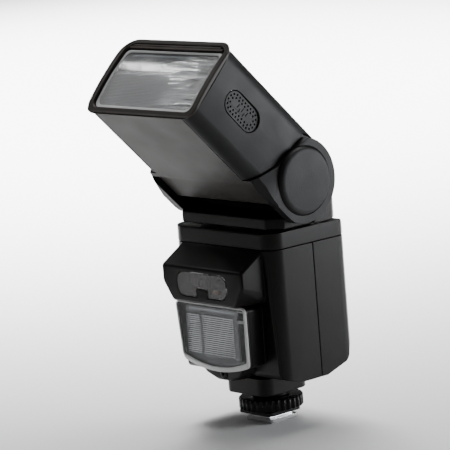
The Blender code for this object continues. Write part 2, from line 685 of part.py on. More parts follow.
def power_switch():
    wall = BODY_REAR_WAIST
    knob = block("power_switch", (SWITCH_X - 2.7, wall - 3.4, KEY_ROW_LOWER - 1.7),
                 (SWITCH_X + 2.7, wall + 1.1, KEY_ROW_LOWER + 1.7), 0.6, "Y")
    join(knob, block("switch_flange", (SWITCH_X - 3.0, wall - 3.8, KEY_ROW_LOWER - 2.6),
                     (SWITCH_X + 3.0, wall - 2.4, KEY_ROW_LOWER + 2.6), 0.5, "Y"))
    set_origin(knob, (SWITCH_X, wall, KEY_ROW_LOWER))
    return paint(knob, (0.5, 0.5, 0.52), 0.5)


# --------------------------------------------------------------------------
# Swivel base and tilt housing
# --------------------------------------------------------------------------

def from_pivot(points):
    """Side-view points given from the tilt axis, as world (y, z)."""
    return [(PIVOT_Y + point[0], PIVOT_Z + point[1]) + tuple(point[2:]) for point in points]


def swivel_base():
    plan = mirrored([(29.5, BASE_FRONT - 0.4), (BASE_HALF, BASE_FRONT + 5.9),
                     (BASE_HALF, BASE_REAR, 7.0)])
    base = prism("swivel_base", rounded(plan), "Z", BASE_BOTTOM, BASE_LEDGE)
    soften(base, 0.7, 1)
    side = [(2.0, BASE_BOTTOM + 0.4), (BASE_REAR, BASE_BOTTOM + 0.4),
            (BASE_REAR - 0.8, CHEEK_TOP, 2.0), (2.0, CHEEK_TOP)]
    cheeks = prism("cheeks", rounded(side), "X", -BASE_HALF - 2.0, BASE_HALF + 2.0)
    meet(cheeks, block("cheek_plan", (-BASE_HALF - 2.0, -30, 90),
                       (BASE_HALF + 2.0, BASE_REAR, 120), 8.0))
    cut(cheeks, rod("cheek_cut", CHEEK_CUT, -60, 60, "X", (0, PIVOT_Y, PIVOT_Z), 64))
    join(base, cheeks)
    cut(base, rod("cable_bore", 12.0, 90, 120, "Z", steps=32))
    return paint(base, BLACK, 0.5)


def swivel_ring():
    under = BODY_TOP - WALL
    profile = [(SWIVEL_BORE, BASE_BOTTOM - GAP), (SWIVEL_RING_RADIUS, BASE_BOTTOM - GAP),
               (SWIVEL_RING_RADIUS, under - GAP), (SWIVEL_RING_RADIUS + 2.6, under - GAP),
               (SWIVEL_RING_RADIUS + 2.6, under - 2.2), (SWIVEL_BORE, under - 2.2)]
    return paint(turned("swivel_ring", profile, steps=40), (0.8, 0.8, 0.78), 0.5)


def world_arc(radius, start, end, steps):
    """Arc about the tilt axis; 0 degrees points forward and 90 points up."""
    return [(-y, z) for y, z in arc((0, 0), radius, start, end, steps)]


def tilt_housing():
    floor = BASE_LEDGE + GAP - PIVOT_Z
    neck = -1.6
    outline = [(neck, floor)]
    outline += world_arc(HOUSING_RADIUS, -83, 100, 14)
    outline += world_arc(HOUSING_REAR_RADIUS, 100, 228, 14)
    outline.append((14.0, floor))
    housing = prism("tilt_housing", from_pivot(outline), "X", -HOUSING_HALF, HOUSING_HALF)
    pocket = from_pivot([(6.0, -30, 0), (14.5, -30, 0), (15.5, 6.0, 3.0), (6.0, 12.0, 3.0)])
    cut(housing, rod("axle_bore", AXLE_RADIUS + GAP, -60, 60, "X", (0, PIVOT_Y, PIVOT_Z), 20))
    for side in (-1, 1):
        low, high = sorted((side * 3.0, side * (HOUSING_HALF - WALL)))
        cut(housing, prism("housing_pocket", rounded(pocket), "X", low, high))
    return paint(housing, SOFT_BLACK, 0.5)


def tilt_axle():
    axle = rod("tilt_axle", AXLE_RADIUS, -AXLE_HALF, AXLE_HALF, "X", (0, PIVOT_Y, PIVOT_Z), 20)
    return paint(axle, STEEL, 0.3, 1.0)


# --------------------------------------------------------------------------
# Head, drawn level in its own frame with the tilt axis at the origin
# --------------------------------------------------------------------------

def ahead(points):
    """Side-view (u, v) points of the head as (y, z) in the head's frame."""
    return [(-point[0], point[1]) + tuple(point[2:]) for point in points]


def ahead_arc(radius, start, end, steps):
    return arc((0, 0), radius, start, end, steps)


def head_section(inset=0.0, crown=HEAD_CROWN):
    """Cross-section of the shell, its sides slightly crowned."""
    middle = (HEAD_TOP + HEAD_BOTTOM) / 2
    quarter = (HEAD_TOP - HEAD_BOTTOM) / 5
    half = [(HEAD_HALF, HEAD_BOTTOM, HEAD_BOTTOM_CORNER), (HEAD_HALF + crown * 0.8, middle - quarter),
            (HEAD_HALF + crown, middle), (HEAD_HALF + crown * 0.8, middle + quarter),
            (HEAD_HALF, HEAD_TOP, HEAD_TOP_CORNER)]
    return rounded(offset(mirrored(half), inset), 6)


def seam(gap=0.0):
    """Line between shell and ear cover, from the bottom up to the arc."""
    points = [(24.7, -18.6), (23.5, -16.0), (17.5, -4.6), (15.1, 4.3), (12.3, 14.2)]
    return [(u - gap, v) for u, v in points]


def upper_shell():
    shell = prism("head_upper_shell", head_section(), "Y", -SHELL_FRONT, 12)
    side = [(90, -30), (90, HEAD_TOP + 1), (0, HEAD_TOP + 1)]
    side += ahead_arc(HEAD_TOP, 90, WRAP_ANGLE, 5)
    side += ahead_arc(21.3, WRAP_ANGLE, 58, 8)
    side += list(reversed(seam())) + [(24.7, -30)]
    meet(shell, prism("shell_side", ahead(side), "X", -60, 60))
    inner = mirrored([(EAR_INNER - 0.3, HEAD_BOTTOM + WALL, 4.0),
                      (EAR_INNER - 0.3, HEAD_TOP - WALL, 6.5)])
    cut(shell, prism("shell_inside", rounded(inner, 4), "Y", -90, -0.5))
    cut(shell, rod("wrap_inside", HEAD_TOP - WALL, -EAR_INNER - 0.4, EAR_INNER + 0.4, "X",
                   steps=64))
    cut(shell, block("lower_opening", (-LOWER_COVER_HALF - GAP, -90, -30),
                     (LOWER_COVER_HALF + GAP, 0, -14)))
    for side_sign in (-1, 1):
        low, high = sorted((side_sign * 30, side_sign * 60))
        cut(shell, prism("grille_opening", ahead(grille_outline(0.0)), "X", low, high))
    return paint(shell, SOFT_BLACK, 0.5)


def lower_shell():
    thickness = HEAD_BOTTOM + WALL
    raised = -16.2
    side = [(SHELL_FRONT, HEAD_BOTTOM), (SHELL_FRONT, thickness), (21.6, thickness),
            (19.4, -14.2), (2.0, -14.2), (2.0, raised), (18.8, raised), (21.0, HEAD_BOTTOM)]
    cover = prism("head_lower_shell", ahead(side), "X", -LOWER_COVER_HALF, LOWER_COVER_HALF)
    rear = prism("lower_rear", ahead([(24.0, HEAD_BOTTOM), (23.0, thickness)] + side[2:]), "X",
                 -EAR_INNER + 0.4, EAR_INNER - 0.4)
    return paint(join(cover, rear), (0.05, 0.046, 0.043), 0.6)


def ear_outline(radius, gap):
    outline = [(24.6 - gap, -19.5)] + seam(gap)
    outline += ahead_arc(radius, 59, 250, 22)
    return outline + [(-4.0, -19.5)]


def ear_cover(name, side):
    low, high = sorted((side * EAR_INNER, side * EAR_OUTER))
    ear = prism(name, ahead(ear_outline(20.4, 0.35)), "X", low, high)
    soften(ear, 0.8, 2, 50)
    outer = side * (EAR_OUTER + 0.4)
    slope = [(8.0, outer), (26.0, side * 37.9), (26.0, side * 60), (8.0, side * 60)]
    cut(ear, prism("ear_slope", [(x, -u) for u, x in slope], "Z", -40, 40))
    # The lower front corner is bevelled, so that it stays behind the shell's rounded edge.
    corner = [(EAR_OUTER + 0.4, -4.0, -19.6), (33.6, -26.0, -19.6), (38.4, -26.0, -13.8),
              (46.0, -26.0, -26.0)]
    cut(ear, hull("ear_corner", [(side * x, y, z) for x, y, z in corner]))
    low, high = sorted((side * (CAP_INNER - GAP), side * 60))
    cut(ear, rod("cap_recess", CAP_RADIUS + GAP, low, high, "X", steps=40))
    low, high = sorted((side * 30, side * 60))
    cut(ear, rod("ear_bore", AXLE_RADIUS + GAP, low, high, "X", steps=20))
    return paint(ear, SOFT_BLACK, 0.45)


def pivot_cap(name, side):
    profile = [(0, CAP_OUTER), (CAP_RADIUS - 2.4, CAP_OUTER - 0.15),
               (CAP_RADIUS - 0.8, CAP_OUTER - 0.8), (CAP_RADIUS, CAP_OUTER - 2.0),
               (CAP_RADIUS, CAP_INNER), (0, CAP_INNER)]
    if side < 0:
        profile = [(r, -h) for r, h in reversed(profile)]
    return paint(turned(name, profile, "X", steps=40), SOFT_BLACK, 0.4)


def grille_outline(gap):
    centre_u, centre_v, half_length, radius = 50.0, 3.05, 12.4, 6.25
    reach = half_length - radius
    radius -= gap
    outline = arc((centre_u + reach, centre_v), radius, -90, 90, 8)
    return outline + arc((centre_u - reach, centre_v), radius, 90, 270, 8)


def side_grille(name, side):
    low, high = sorted((side * (EAR_INNER - 0.1), side * (HEAD_HALF + HEAD_CROWN)))
    grille = prism(name, ahead(grille_outline(GAP)), "X", low, high)
    for step in range(5):
        u = 46.6 + 1.8 * step
        slot = rounded([(u - 0.35, 1.6), (u + 0.35, 1.6), (u + 0.75, 4.4), (u + 0.05, 4.4)])
        cut(grille, prism("grille_slot", ahead(slot), "X", -60, 60))
    return paint(grille, BLACK, 0.6)


def front_curve(name, front):
    """Solid behind the gently bowed front surface of the head."""
    bow = 150.0
    outline = [(point[0] + front - bow, point[1] + 3.0) for point in
               ahead_arc(bow, -12, 12, 12)]
    return prism(name, ahead(outline + [(20, 40), (20, -40)]), "X", -60, 60)


def lens_bezel():
    half = [(BEZEL_HALF, BEZEL_BOTTOM, 6.5), (BEZEL_HALF, BEZEL_TOP, 9.0)]
    opening = [(LENS_HALF + GAP, LENS_BOTTOM - GAP, 4.0), (LENS_HALF + GAP, 22.6, 3.0)]
    bezel = prism("lens_bezel", [rounded(mirrored(half), 6), rounded(mirrored(opening), 4)], "Y",
                  -80, -SHELL_FRONT - GAP)
    return paint(meet(bezel, front_curve("bezel_front", BEZEL_FRONT)), (0.045, 0.037, 0.03), 0.4)


def fresnel_lens():
    half = [(LENS_HALF, LENS_BOTTOM, 3.7), (LENS_HALF, LENS_TOP, 3.0)]
    lens = prism("fresnel_lens", rounded(mirrored(half)), "Y", -80, -71.4)
    return paint(meet(lens, front_curve("lens_front", BEZEL_FRONT - 1.3)), CLEAR, 0.05, 0.0, 0.4)


def wide_panel():
    panel = block("wide_panel", (-32.8, -73.6, 19.8), (32.8, -33.0, 20.8), 2.0)
    set_origin(panel, (0, -73.6, 20.3))
    return paint(panel, CLEAR, 0.1, 0.0, 0.5)


def bounce_card():
    card = block("bounce_card", (-30.8, -73.6, 21.2), (30.8, -26.0, 21.9), 2.0)
    set_origin(card, (0, -73.6, 21.5))
    return paint(card, CREAM, 0.6)


def light_funnel():
    """Bright funnel from the reflector's path out to the lens."""
    rear, front = SCREW_FRONT + 0.4, 71.1
    funnel = block("light_funnel", (-35.2, -front, -15.7), (35.2, -rear, 19.3), 4.5, "Y")
    inner = [(30.1, -rear + 1, -13.2), (30.1, -rear + 1, 17.1), (33.9, -front - 1, -15.0),
             (33.9, -front - 1, 18.7)]
    return paint(cut(funnel, hull("funnel_space", both_sides(inner))), SILVER, 0.3, 0.6)


def head_bulkhead():
    wall = block("head_bulkhead", (-35.4, -BULKHEAD - 1.5, -15.9), (35.4, -BULKHEAD, 18.6), 5.0, "Y")
    cut(wall, block("cable_window", (-9, -40, -7), (9, 0, 7), 2.0, "Y"))
    return paint(wall, SOFT_BLACK, 0.6)


def zoom_motor():
    rear = -(BULKHEAD + 1.5 + GAP)
    motor = rod("zoom_motor", 3.1, rear - 9.0, rear, "Y", (-SCREW_X, 0, SCREW_Z), 20, 0.4)
    return paint(motor, STEEL, 0.35, 1.0)


def lead_screw():
    rear = BULKHEAD + 1.5 + GAP + 9.0 + GAP
    screw = rod("lead_screw", 1.2, -SCREW_FRONT, -rear, "Y", (-SCREW_X, 0, SCREW_Z), 12)
    set_origin(screw, (-SCREW_X, -rear, SCREW_Z))
    return paint(screw, STEEL, 0.25, 1.0)


def guide_rod():
    guide = rod("guide_rod", 1.2, -SCREW_FRONT, -(BULKHEAD + 1.5 + GAP), "Y", (SCREW_X, 0, SCREW_Z), 12)
    return paint(guide, STEEL, 0.25, 1.0)


def zoom_carriage():
    rear = -CARRIAGE_REAR
    frame = block("zoom_carriage", (-34.9, rear - 3.2, -12.6), (34.9, rear, 17.0), 2.0, "Y")
    for x in (-SCREW_X, SCREW_X):
        cut(frame, rod("bush_bore", 1.5, rear - 9, rear + 9, "Y", (x, 0, SCREW_Z), 12))
    cut(frame, block("carriage_window", (-20, rear - 9, -7), (20, rear + 9, 11), 2.0, "Y"))
    set_origin(frame, (0, rear, 0))
    return paint(frame, SOFT_BLACK, 0.5)


def flash_reflector():
    rear = CARRIAGE_REAR + 3.2 + GAP
    mouth = rear + 14.2
    middle = 2.0
    bowl = block("flash_reflector", (-29.6, -mouth, -12.6), (29.6, -rear, 16.6), 1.0, "Y")
    hollow = [(mouth + 1, middle - 13.6), (mouth + 1, middle + 13.6)]
    for step in range(11):
        share = 1 - step / 5
        hollow.append((rear + 1.4 + 12.8 * share * share, middle + 13.4 * share))
    cut(bowl, prism("bowl_space", ahead(hollow), "X", -28.4, 28.4))
    set_origin(bowl, (0, -rear, 0))
    return paint(bowl, SILVER, 0.12, 1.0)


def flash_tube():
    place = (0, -(CARRIAGE_REAR + 8.6), 2.0)
    tube = rod("flash_tube", 1.7, -28.0, 28.0, "X", place, 16, 0.4)
    set_origin(tube, place)
    return paint(tube, CLEAR, 0.05, 0.0, 0.5)


# --------------------------------------------------------------------------
# Assembly
# --------------------------------------------------------------------------

def build_body():
    for make in (shoe_foot, shoe_contact, lock_pin, clamp_plate, lock_ring, foot_flange,
                 front_casing, rear_casing, top_cover, sensor_window, assist_lamp,
                 sub_flash_window, sub_flash_reflector, sub_flash_tube, sync_socket,
                 battery_box, battery_contacts, battery_door, door_latch, main_capacitor,
                 circuit_board, lcd_module, lcd_window, key_board, power_switch):
        make()
    for number, (y, z) in enumerate(cell_places()):
        battery("battery_%d" % (number + 1), y, z, number % 2 == 1)
    for name, (x, z) in KEY_PLACES.items():
        key(name, x, z)


def build_swivel():
    swivel_axis = axis_empty("swivel_axis", (0, 0, 0))
    for make in (swivel_base, swivel_ring, tilt_housing, tilt_axle):
        attach(make(), swivel_axis)
    return swivel_axis


def build_head(swivel_axis):
    tilt_axis = axis_empty("tilt_axis", (0, PIVOT_Y, PIVOT_Z), swivel_axis, -REST_TILT)
    for make in (upper_shell, lower_shell, lens_bezel, fresnel_lens, wide_panel, bounce_card,
                 light_funnel, head_bulkhead, zoom_motor, lead_screw, guide_rod, zoom_carriage,
                 flash_reflector, flash_tube):
        attach(make(), tilt_axis)
    for name, side in (("left", -1), ("right", 1)):
        attach(ear_cover("ear_cover_" + name, side), tilt_axis)
        attach(pivot_cap("pivot_cap_" + name, side), tilt_axis)
        attach(side_grille("side_grille_" + name, side), tilt_axis)


clear_scene()
PARTS = new_collection("speedlight_flash")
CUTTERS = new_collection("cutters")
build_body()
build_head(build_swivel())
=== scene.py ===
"""Looks of the speedlight flash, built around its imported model."""
import json
from math import cos, pi, radians, sin, tan

import bmesh
import bpy
from mathutils import Matrix, Vector


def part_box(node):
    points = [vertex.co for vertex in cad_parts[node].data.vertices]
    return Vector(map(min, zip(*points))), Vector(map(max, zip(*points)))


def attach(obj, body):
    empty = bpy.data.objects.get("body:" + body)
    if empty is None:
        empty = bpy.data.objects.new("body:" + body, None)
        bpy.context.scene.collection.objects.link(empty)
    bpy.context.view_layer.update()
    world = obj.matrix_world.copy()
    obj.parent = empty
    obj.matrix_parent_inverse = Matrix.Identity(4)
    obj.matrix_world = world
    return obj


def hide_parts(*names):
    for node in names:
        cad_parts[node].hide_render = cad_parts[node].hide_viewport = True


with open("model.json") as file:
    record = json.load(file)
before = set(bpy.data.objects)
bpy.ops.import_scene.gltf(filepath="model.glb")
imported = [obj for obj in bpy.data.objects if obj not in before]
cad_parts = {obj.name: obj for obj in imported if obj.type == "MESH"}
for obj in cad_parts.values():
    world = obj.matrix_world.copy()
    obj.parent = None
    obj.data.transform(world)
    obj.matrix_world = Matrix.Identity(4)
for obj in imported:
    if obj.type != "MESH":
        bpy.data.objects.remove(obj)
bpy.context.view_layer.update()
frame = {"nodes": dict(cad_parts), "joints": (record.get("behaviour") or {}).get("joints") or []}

NODES = frame["nodes"]
JOINTS = {joint["name"]: joint for joint in frame["joints"]}
MM = 0.001

# The head's own frame: x across, -y forwards along the head, z up out of its top.
FORWARD = Vector(JOINTS["zoom_slide"]["axis"]).normalized()
ACROSS = Vector((1, 0, 0))
UPWARD = FORWARD.cross(ACROSS)
PIVOT = Vector(JOINTS["head_tilt"]["pos_m"])
HEAD = Matrix.Translation(PIVOT) @ Matrix((ACROSS, -FORWARD, UPWARD)).transposed().to_4x4()


# --------------------------------------------------------------------------
# Camera, floor and lights
# --------------------------------------------------------------------------

def place_camera():
    """Long lens, off the flash's front right corner, a little above it and leaning."""
    azimuth, elevation, lean = radians(48.4), radians(9.74), radians(4.57)
    distance, aside, aim_height = 1.33842, -0.01571, 0.09731
    right = Vector((cos(azimuth), sin(azimuth), 0))
    back = Vector((sin(azimuth) * cos(elevation), -cos(azimuth) * cos(elevation), sin(elevation)))
    up = back.cross(right)
    data = bpy.data.cameras.new("camera")
    data.lens = 221.26
    data.sensor_width = 36.0
    data.clip_end = 20.0
    camera = bpy.data.objects.new("camera", data)
    leaning_right = right * cos(lean) - up * sin(lean)
    leaning_up = up * cos(lean) + right * sin(lean)
    turn = Matrix((leaning_right, leaning_up, back)).transposed().to_4x4()
    place = Vector((0, 0, aim_height)) + right * aside + back * distance
    camera.matrix_world = Matrix.Translation(place) @ turn
    bpy.context.scene.collection.objects.link(camera)
    bpy.context.scene.camera = camera


def area_light(name, place, aim, size, power, colour=(1, 1, 1), spread=180):
    data = bpy.data.lights.new(name, "AREA")
    data.shape = "RECTANGLE"
    data.size, data.size_y = size
    data.energy = power
    data.color = colour
    data.spread = radians(spread)
    light = bpy.data.objects.new(name, data)
    light.location = place
    light.rotation_euler = (Vector(aim) - Vector(place)).to_track_quat("-Z", "Y").to_euler()
    bpy.context.scene.collection.objects.link(light)


def light_studio():
    """Soft boxes over the floor behind, overhead, by the right rear and high on the left."""
    aim = (0, 0, 0.1)
    area_light("backdrop_light", (-1.15, 0.85, 0.9), (-1.15, 0.85, 0), (1.8, 1.6), 85.0,
               spread=80)
    area_light("overhead_light", (-0.2, 0.6, 1.6), (-0.1, 0.35, 0), (1.4, 1.4), 18.0)
    area_light("side_light", (0.41, 0.43, 0.14), aim, (0.3, 0.22), 2.6, (0.95, 0.97, 1.0))
    area_light("lens_light", (-0.846, -0.119, 0.9), aim, (0.045, 0.045), 0.19)
    area_light("top_light", (-0.95, -0.3, 0.95), aim, (0.3, 0.3), 0.5)
    world = bpy.data.worlds.new("studio")
    world.use_nodes = True
    backdrop = world.node_tree.nodes["Background"]
    backdrop.inputs["Color"].default_value = (1, 1, 1, 1)
    backdrop.inputs["Strength"].default_value = 0.125
    bpy.context.scene.world = world


def lay_floor():
    """Pale paper, just under the foot."""
    work = bmesh.new()
    bmesh.ops.create_grid(work, x_segments=24, y_segments=24, size=6.0)
    floor = link_mesh("floor", work)
    floor.location.z = -0.2 * MM
    material, shader, tree = new_material("floor_paper")
    shader.inputs["Base Color"].default_value = (0.93, 0.93, 0.93, 1)
    shader.inputs["Roughness"].default_value = 0.8
    grain = add_noise(tree, 180.0, 3.0)
    add_bump(tree, shader, grain.outputs["Fac"], 0.05, 0.0002)
    floor.data.materials.append(material)


# --------------------------------------------------------------------------
# Materials
# --------------------------------------------------------------------------

def new_material(name):
    material = bpy.data.materials.new(name)
    material.use_nodes = True
    tree = material.node_tree
    return material, tree.nodes["Principled BSDF"], tree


def object_place(tree):
    """Place on the piece, from one node that a material's textures share."""
    node = tree.nodes.get("place")
    if node is None:
        node = tree.nodes.new("ShaderNodeTexCoord")
        node.name = "place"
    return node.outputs["Object"]


def add_noise(tree, scale, detail=2.0, stretch=None, distortion=0.0):
    noise = tree.nodes.new("ShaderNodeTexNoise")
    noise.inputs["Scale"].default_value = scale
    noise.inputs["Detail"].default_value = detail
    noise.inputs["Distortion"].default_value = distortion
    source = object_place(tree)
    if stretch is not None:
        mapping = tree.nodes.new("ShaderNodeMapping")
        mapping.inputs["Scale"].default_value = stretch
        tree.links.new(source, mapping.inputs["Vector"])
        source = mapping.outputs["Vector"]
    tree.links.new(source, noise.inputs["Vector"])
    return noise


def add_range(tree, value, low, high, to_low, to_high):
    node = tree.nodes.new("ShaderNodeMapRange")
    for socket, number in (("From Min", low), ("From Max", high), ("To Min", to_low),
                           ("To Max", to_high)):
        node.inputs[socket].default_value = number
    tree.links.new(value, node.inputs["Value"])
    return node.outputs["Result"]


def add_bump(tree, shader, height, strength, distance, under=None):
    bump = tree.nodes.new("ShaderNodeBump")
    bump.inputs["Strength"].default_value = strength
    bump.inputs["Distance"].default_value = distance
    tree.links.new(height, bump.inputs["Height"])
    if under is not None:
        tree.links.new(under.outputs["Normal"], bump.inputs["Normal"])
    tree.links.new(bump.outputs["Normal"], shader.inputs["Normal"])
    return bump


def mix_colours(tree, share, first, second):
    mix = tree.nodes.new("ShaderNodeMix")
    mix.data_type = "RGBA"
    mix.inputs["A"].default_value = (*first, 1)
    mix.inputs["B"].default_value = (*second, 1)
    tree.links.new(share, mix.inputs["Factor"])
    return mix.outputs["Result"]


def lighter(colour, factor):
    return tuple(min(1.0, channel * factor) for channel in colour)


def moulded_plastic(name, colour, roughness, grain=0.35, edge_highlight_gain=1.9, shine=0.3):
    """Spark-eroded black plastic: fine grain, patchy gloss and a painted highlight that pales its
    sharp edges.
    """
    material, shader, tree = new_material(name)
    clouds = add_noise(tree, 60.0, 4.0)
    share = add_range(tree, clouds.outputs["Fac"], 0.35, 0.65, 0.0, 1.0)
    base = mix_colours(tree, share, lighter(colour, 0.82), lighter(colour, 1.18))
    # Painted highlight: where Pointiness finds a sharp edge, the colour is mixed towards a paler
    # copy that stands in for the sheen on the edges.
    geometry = tree.nodes.new("ShaderNodeNewGeometry")
    painted_edge_highlight = add_range(tree, geometry.outputs["Pointiness"], 0.53, 0.62, 0.0, 1.0)
    edge = tree.nodes.new("ShaderNodeMix")
    edge.data_type = "RGBA"
    edge.inputs["B"].default_value = (*lighter(colour, edge_highlight_gain), 1)
    tree.links.new(painted_edge_highlight, edge.inputs["Factor"])
    tree.links.new(base, edge.inputs["A"])
    tree.links.new(edge.outputs["Result"], shader.inputs["Base Color"])
    gloss = add_range(tree, clouds.outputs["Fac"], 0.3, 0.7, roughness - 0.05, roughness + 0.06)
    tree.links.new(gloss, shader.inputs["Roughness"])
    shader.inputs["Specular IOR Level"].default_value = shine
    coarse = add_noise(tree, 1500.0, 3.0)
    fine = add_noise(tree, 4200.0, 2.0)
    under = add_bump(tree, shader, coarse.outputs["Fac"], grain, 0.00012)
    add_bump(tree, shader, fine.outputs["Fac"], grain * 0.6, 0.00005, under)
    return material


def brushed_metal(name, colour, roughness, stretch=(60, 60, 2500)):
    """Metal with fine lines in its colour, gloss and surface."""
    material, shader, tree = new_material(name)
    lines = add_noise(tree, 1.0, 4.0, stretch)
    share = add_range(tree, lines.outputs["Fac"], 0.3, 0.7, 0.0, 1.0)
    tree.links.new(mix_colours(tree, share, lighter(colour, 0.8), colour),
                   shader.inputs["Base Color"])
    gloss = add_range(tree, lines.outputs["Fac"], 0.3, 0.7, roughness * 0.7, roughness * 1.3)
    tree.links.new(gloss, shader.inputs["Roughness"])
    shader.inputs["Metallic"].default_value = 1.0
    add_bump(tree, shader, lines.outputs["Fac"], 0.15, 0.00004)
    return material


def clear_plastic(name, tint, roughness, transmission=1.0, ripple=0.06, ior=1.49):
    """Clear or milky plastic with faint smears and a slight ripple."""
    material, shader, tree = new_material(name)
    smears = add_noise(tree, 45.0, 3.0, distortion=0.6)
    share = add_range(tree, smears.outputs["Fac"], 0.4, 0.7, 0.0, 1.0)
    tree.links.new(mix_colours(tree, share, tint, lighter(tint, 0.93)), shader.inputs["Base Color"])
    tree.links.new(add_range(tree, smears.outputs["Fac"], 0.35, 0.75, roughness, roughness + 0.05),
                   shader.inputs["Roughness"])
    shader.inputs["Transmission Weight"].default_value = transmission
    shader.inputs["IOR"].default_value = ior
    waves = add_noise(tree, 320.0, 1.0)
    add_bump(tree, shader, waves.outputs["Fac"], ripple, 0.0002)
    return material


def plain_finish(name, colour, roughness, metallic=0.0, scale=900.0, grain=0.15):
    """Small inner pieces: a slightly uneven colour and a light surface texture."""
    material, shader, tree = new_material(name)
    patches = add_noise(tree, scale / 4, 3.0)
    share = add_range(tree, patches.outputs["Fac"], 0.35, 0.65, 0.0, 1.0)
    tree.links.new(mix_colours(tree, share, lighter(colour, 0.85), lighter(colour, 1.1)),
                   shader.inputs["Base Color"])
    tree.links.new(add_range(tree, patches.outputs["Fac"], 0.3, 0.7, roughness * 0.85,
                             min(1.0, roughness * 1.2)), shader.inputs["Roughness"])
    shader.inputs["Metallic"].default_value = metallic
    grains = add_noise(tree, scale, 2.0)
    add_bump(tree, shader, grains.outputs["Fac"], grain, 0.0001)
    return material


def lens_finish():
    """Clear plastic with a faint haze, and flow marks that run aslant at one end."""
    material, shader, tree = new_material("ribbed_lens_finish")
    place = object_place(tree)
    slant = tree.nodes.new("ShaderNodeMapping")
    slant.inputs["Rotation"].default_value = (0, radians(35), 0)
    slant.inputs["Scale"].default_value = (40, 1, 520)
    tree.links.new(place, slant.inputs["Vector"])
    flow = tree.nodes.new("ShaderNodeTexNoise")
    flow.inputs["Scale"].default_value = 1.0
    flow.inputs["Detail"].default_value = 2.0
    flow.inputs["Distortion"].default_value = 0.5
    tree.links.new(slant.outputs["Vector"], flow.inputs["Vector"])
    across = tree.nodes.new("ShaderNodeSeparateXYZ")
    tree.links.new(place, across.inputs["Vector"])
    end = add_range(tree, across.outputs["X"], 0.002, 0.026, 0.0, 1.0)
    marks = tree.nodes.new("ShaderNodeMath")
    marks.operation = "MULTIPLY"
    tree.links.new(flow.outputs["Fac"], marks.inputs[0])
    tree.links.new(end, marks.inputs[1])
    share = add_range(tree, marks.outputs["Value"], 0.25, 0.65, 0.0, 1.0)
    tree.links.new(mix_colours(tree, share, (0.66, 0.68, 0.7), (0.4, 0.4, 0.4)),
                   shader.inputs["Base Color"])
    haze = add_noise(tree, 70.0, 3.0)
    tree.links.new(add_range(tree, haze.outputs["Fac"], 0.3, 0.7, 0.06, 0.16),
                   shader.inputs["Roughness"])
    shader.inputs["Transmission Weight"].default_value = 0.95
    shader.inputs["IOR"].default_value = 1.49
    add_bump(tree, shader, marks.outputs["Value"], 0.5, 0.0006)
    return material


# --------------------------------------------------------------------------
# Mesh helpers
# --------------------------------------------------------------------------

def smooth(mesh, angle):
    """Even shading, with edges sharper than the angle kept."""
    mesh.shade_smooth()
    mesh.set_sharp_from_angle(angle=radians(angle))


def link_mesh(name, work, smooth_angle=None):
    """Turn a bmesh into a linked object."""
    bmesh.ops.recalc_face_normals(work, faces=work.faces)
    mesh = bpy.data.meshes.new(name)
    work.to_mesh(mesh)
    work.free()
    piece = bpy.data.objects.new(name, mesh)
    bpy.context.scene.collection.objects.link(piece)
    if smooth_angle is not None:
        smooth(mesh, smooth_angle)
    return piece


def finish_piece(piece, body, material, replaced=()):
    """Give a piece its look, the body it rides and the nodes it stands in for."""
    piece.data.materials.clear()
    piece.data.materials.append(material)
    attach(piece, body)
    if replaced:
        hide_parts(*replaced)


def head_box(node):
    """Lowest and highest corner of a node in the head's frame."""
    inverse = HEAD.inverted()
    points = [inverse @ vertex.co for vertex in NODES[node].data.vertices]
    low = Vector([min(point[axis] for point in points) for axis in range(3)])
    high = Vector([max(point[axis] for point in points) for axis in range(3)])
    return low, high


def skin(work, first, second):
    """Faces between two rings of vertices of equal length."""
    for index in range(len(first)):
        after = (index + 1) % len(first)
        work.faces.new((first[index], first[after], second[after], second[index]))


def extrude_outline(work, outline, direction):
    """Add a closed prism from a flat loop of points."""
    near = [work.verts.new(point) for point in outline]
    far = [work.verts.new(Vector(point) + direction) for point in outline]
    work.faces.new(near)
    work.faces.new(list(reversed(far)))
    skin(work, near, far)


def cut_away(piece, tool):
    """Take the tool's shape out of the piece, and delete the tool."""
    boolean = piece.modifiers.new("boolean", "BOOLEAN")
    boolean.operation = "DIFFERENCE"
    boolean.solver = "EXACT"
    boolean.object = tool
    bpy.context.view_layer.update()
    evaluated = piece.evaluated_get(bpy.context.evaluated_depsgraph_get())
    mesh = bpy.data.meshes.new_from_object(evaluated)
    piece.modifiers.clear()
    piece.data = mesh
    bpy.data.objects.remove(tool, do_unlink=True)


def round_edges(piece, width, segments=2):
    """Give moulded edges a small radius, in mm, and even shading, through modifiers only."""
    weld = piece.modifiers.new("weld", "WELD")
    weld.merge_threshold = 0.01 * MM
    flats = piece.modifiers.new("flat_faces", "DECIMATE")
    flats.decimate_type = "DISSOLVE"
    flats.angle_limit = radians(0.4)
    bevel = piece.modifiers.new("soft_edges", "BEVEL")
    bevel.width = width * MM
    bevel.segments = segments
    bevel.limit_method = "ANGLE"
    bevel.angle_limit = radians(32)
    bevel.use_clamp_overlap = False
    even = piece.modifiers.new("even_shading", "WEIGHTED_NORMAL")
    even.weight = 60
    even.keep_sharp = False


def head_piece(name, work, smooth_angle=None):
    """Piece whose mesh is drawn in the head's frame, in metres."""
    piece = link_mesh(name, work, smooth_angle)
    piece.matrix_world = HEAD
    return piece


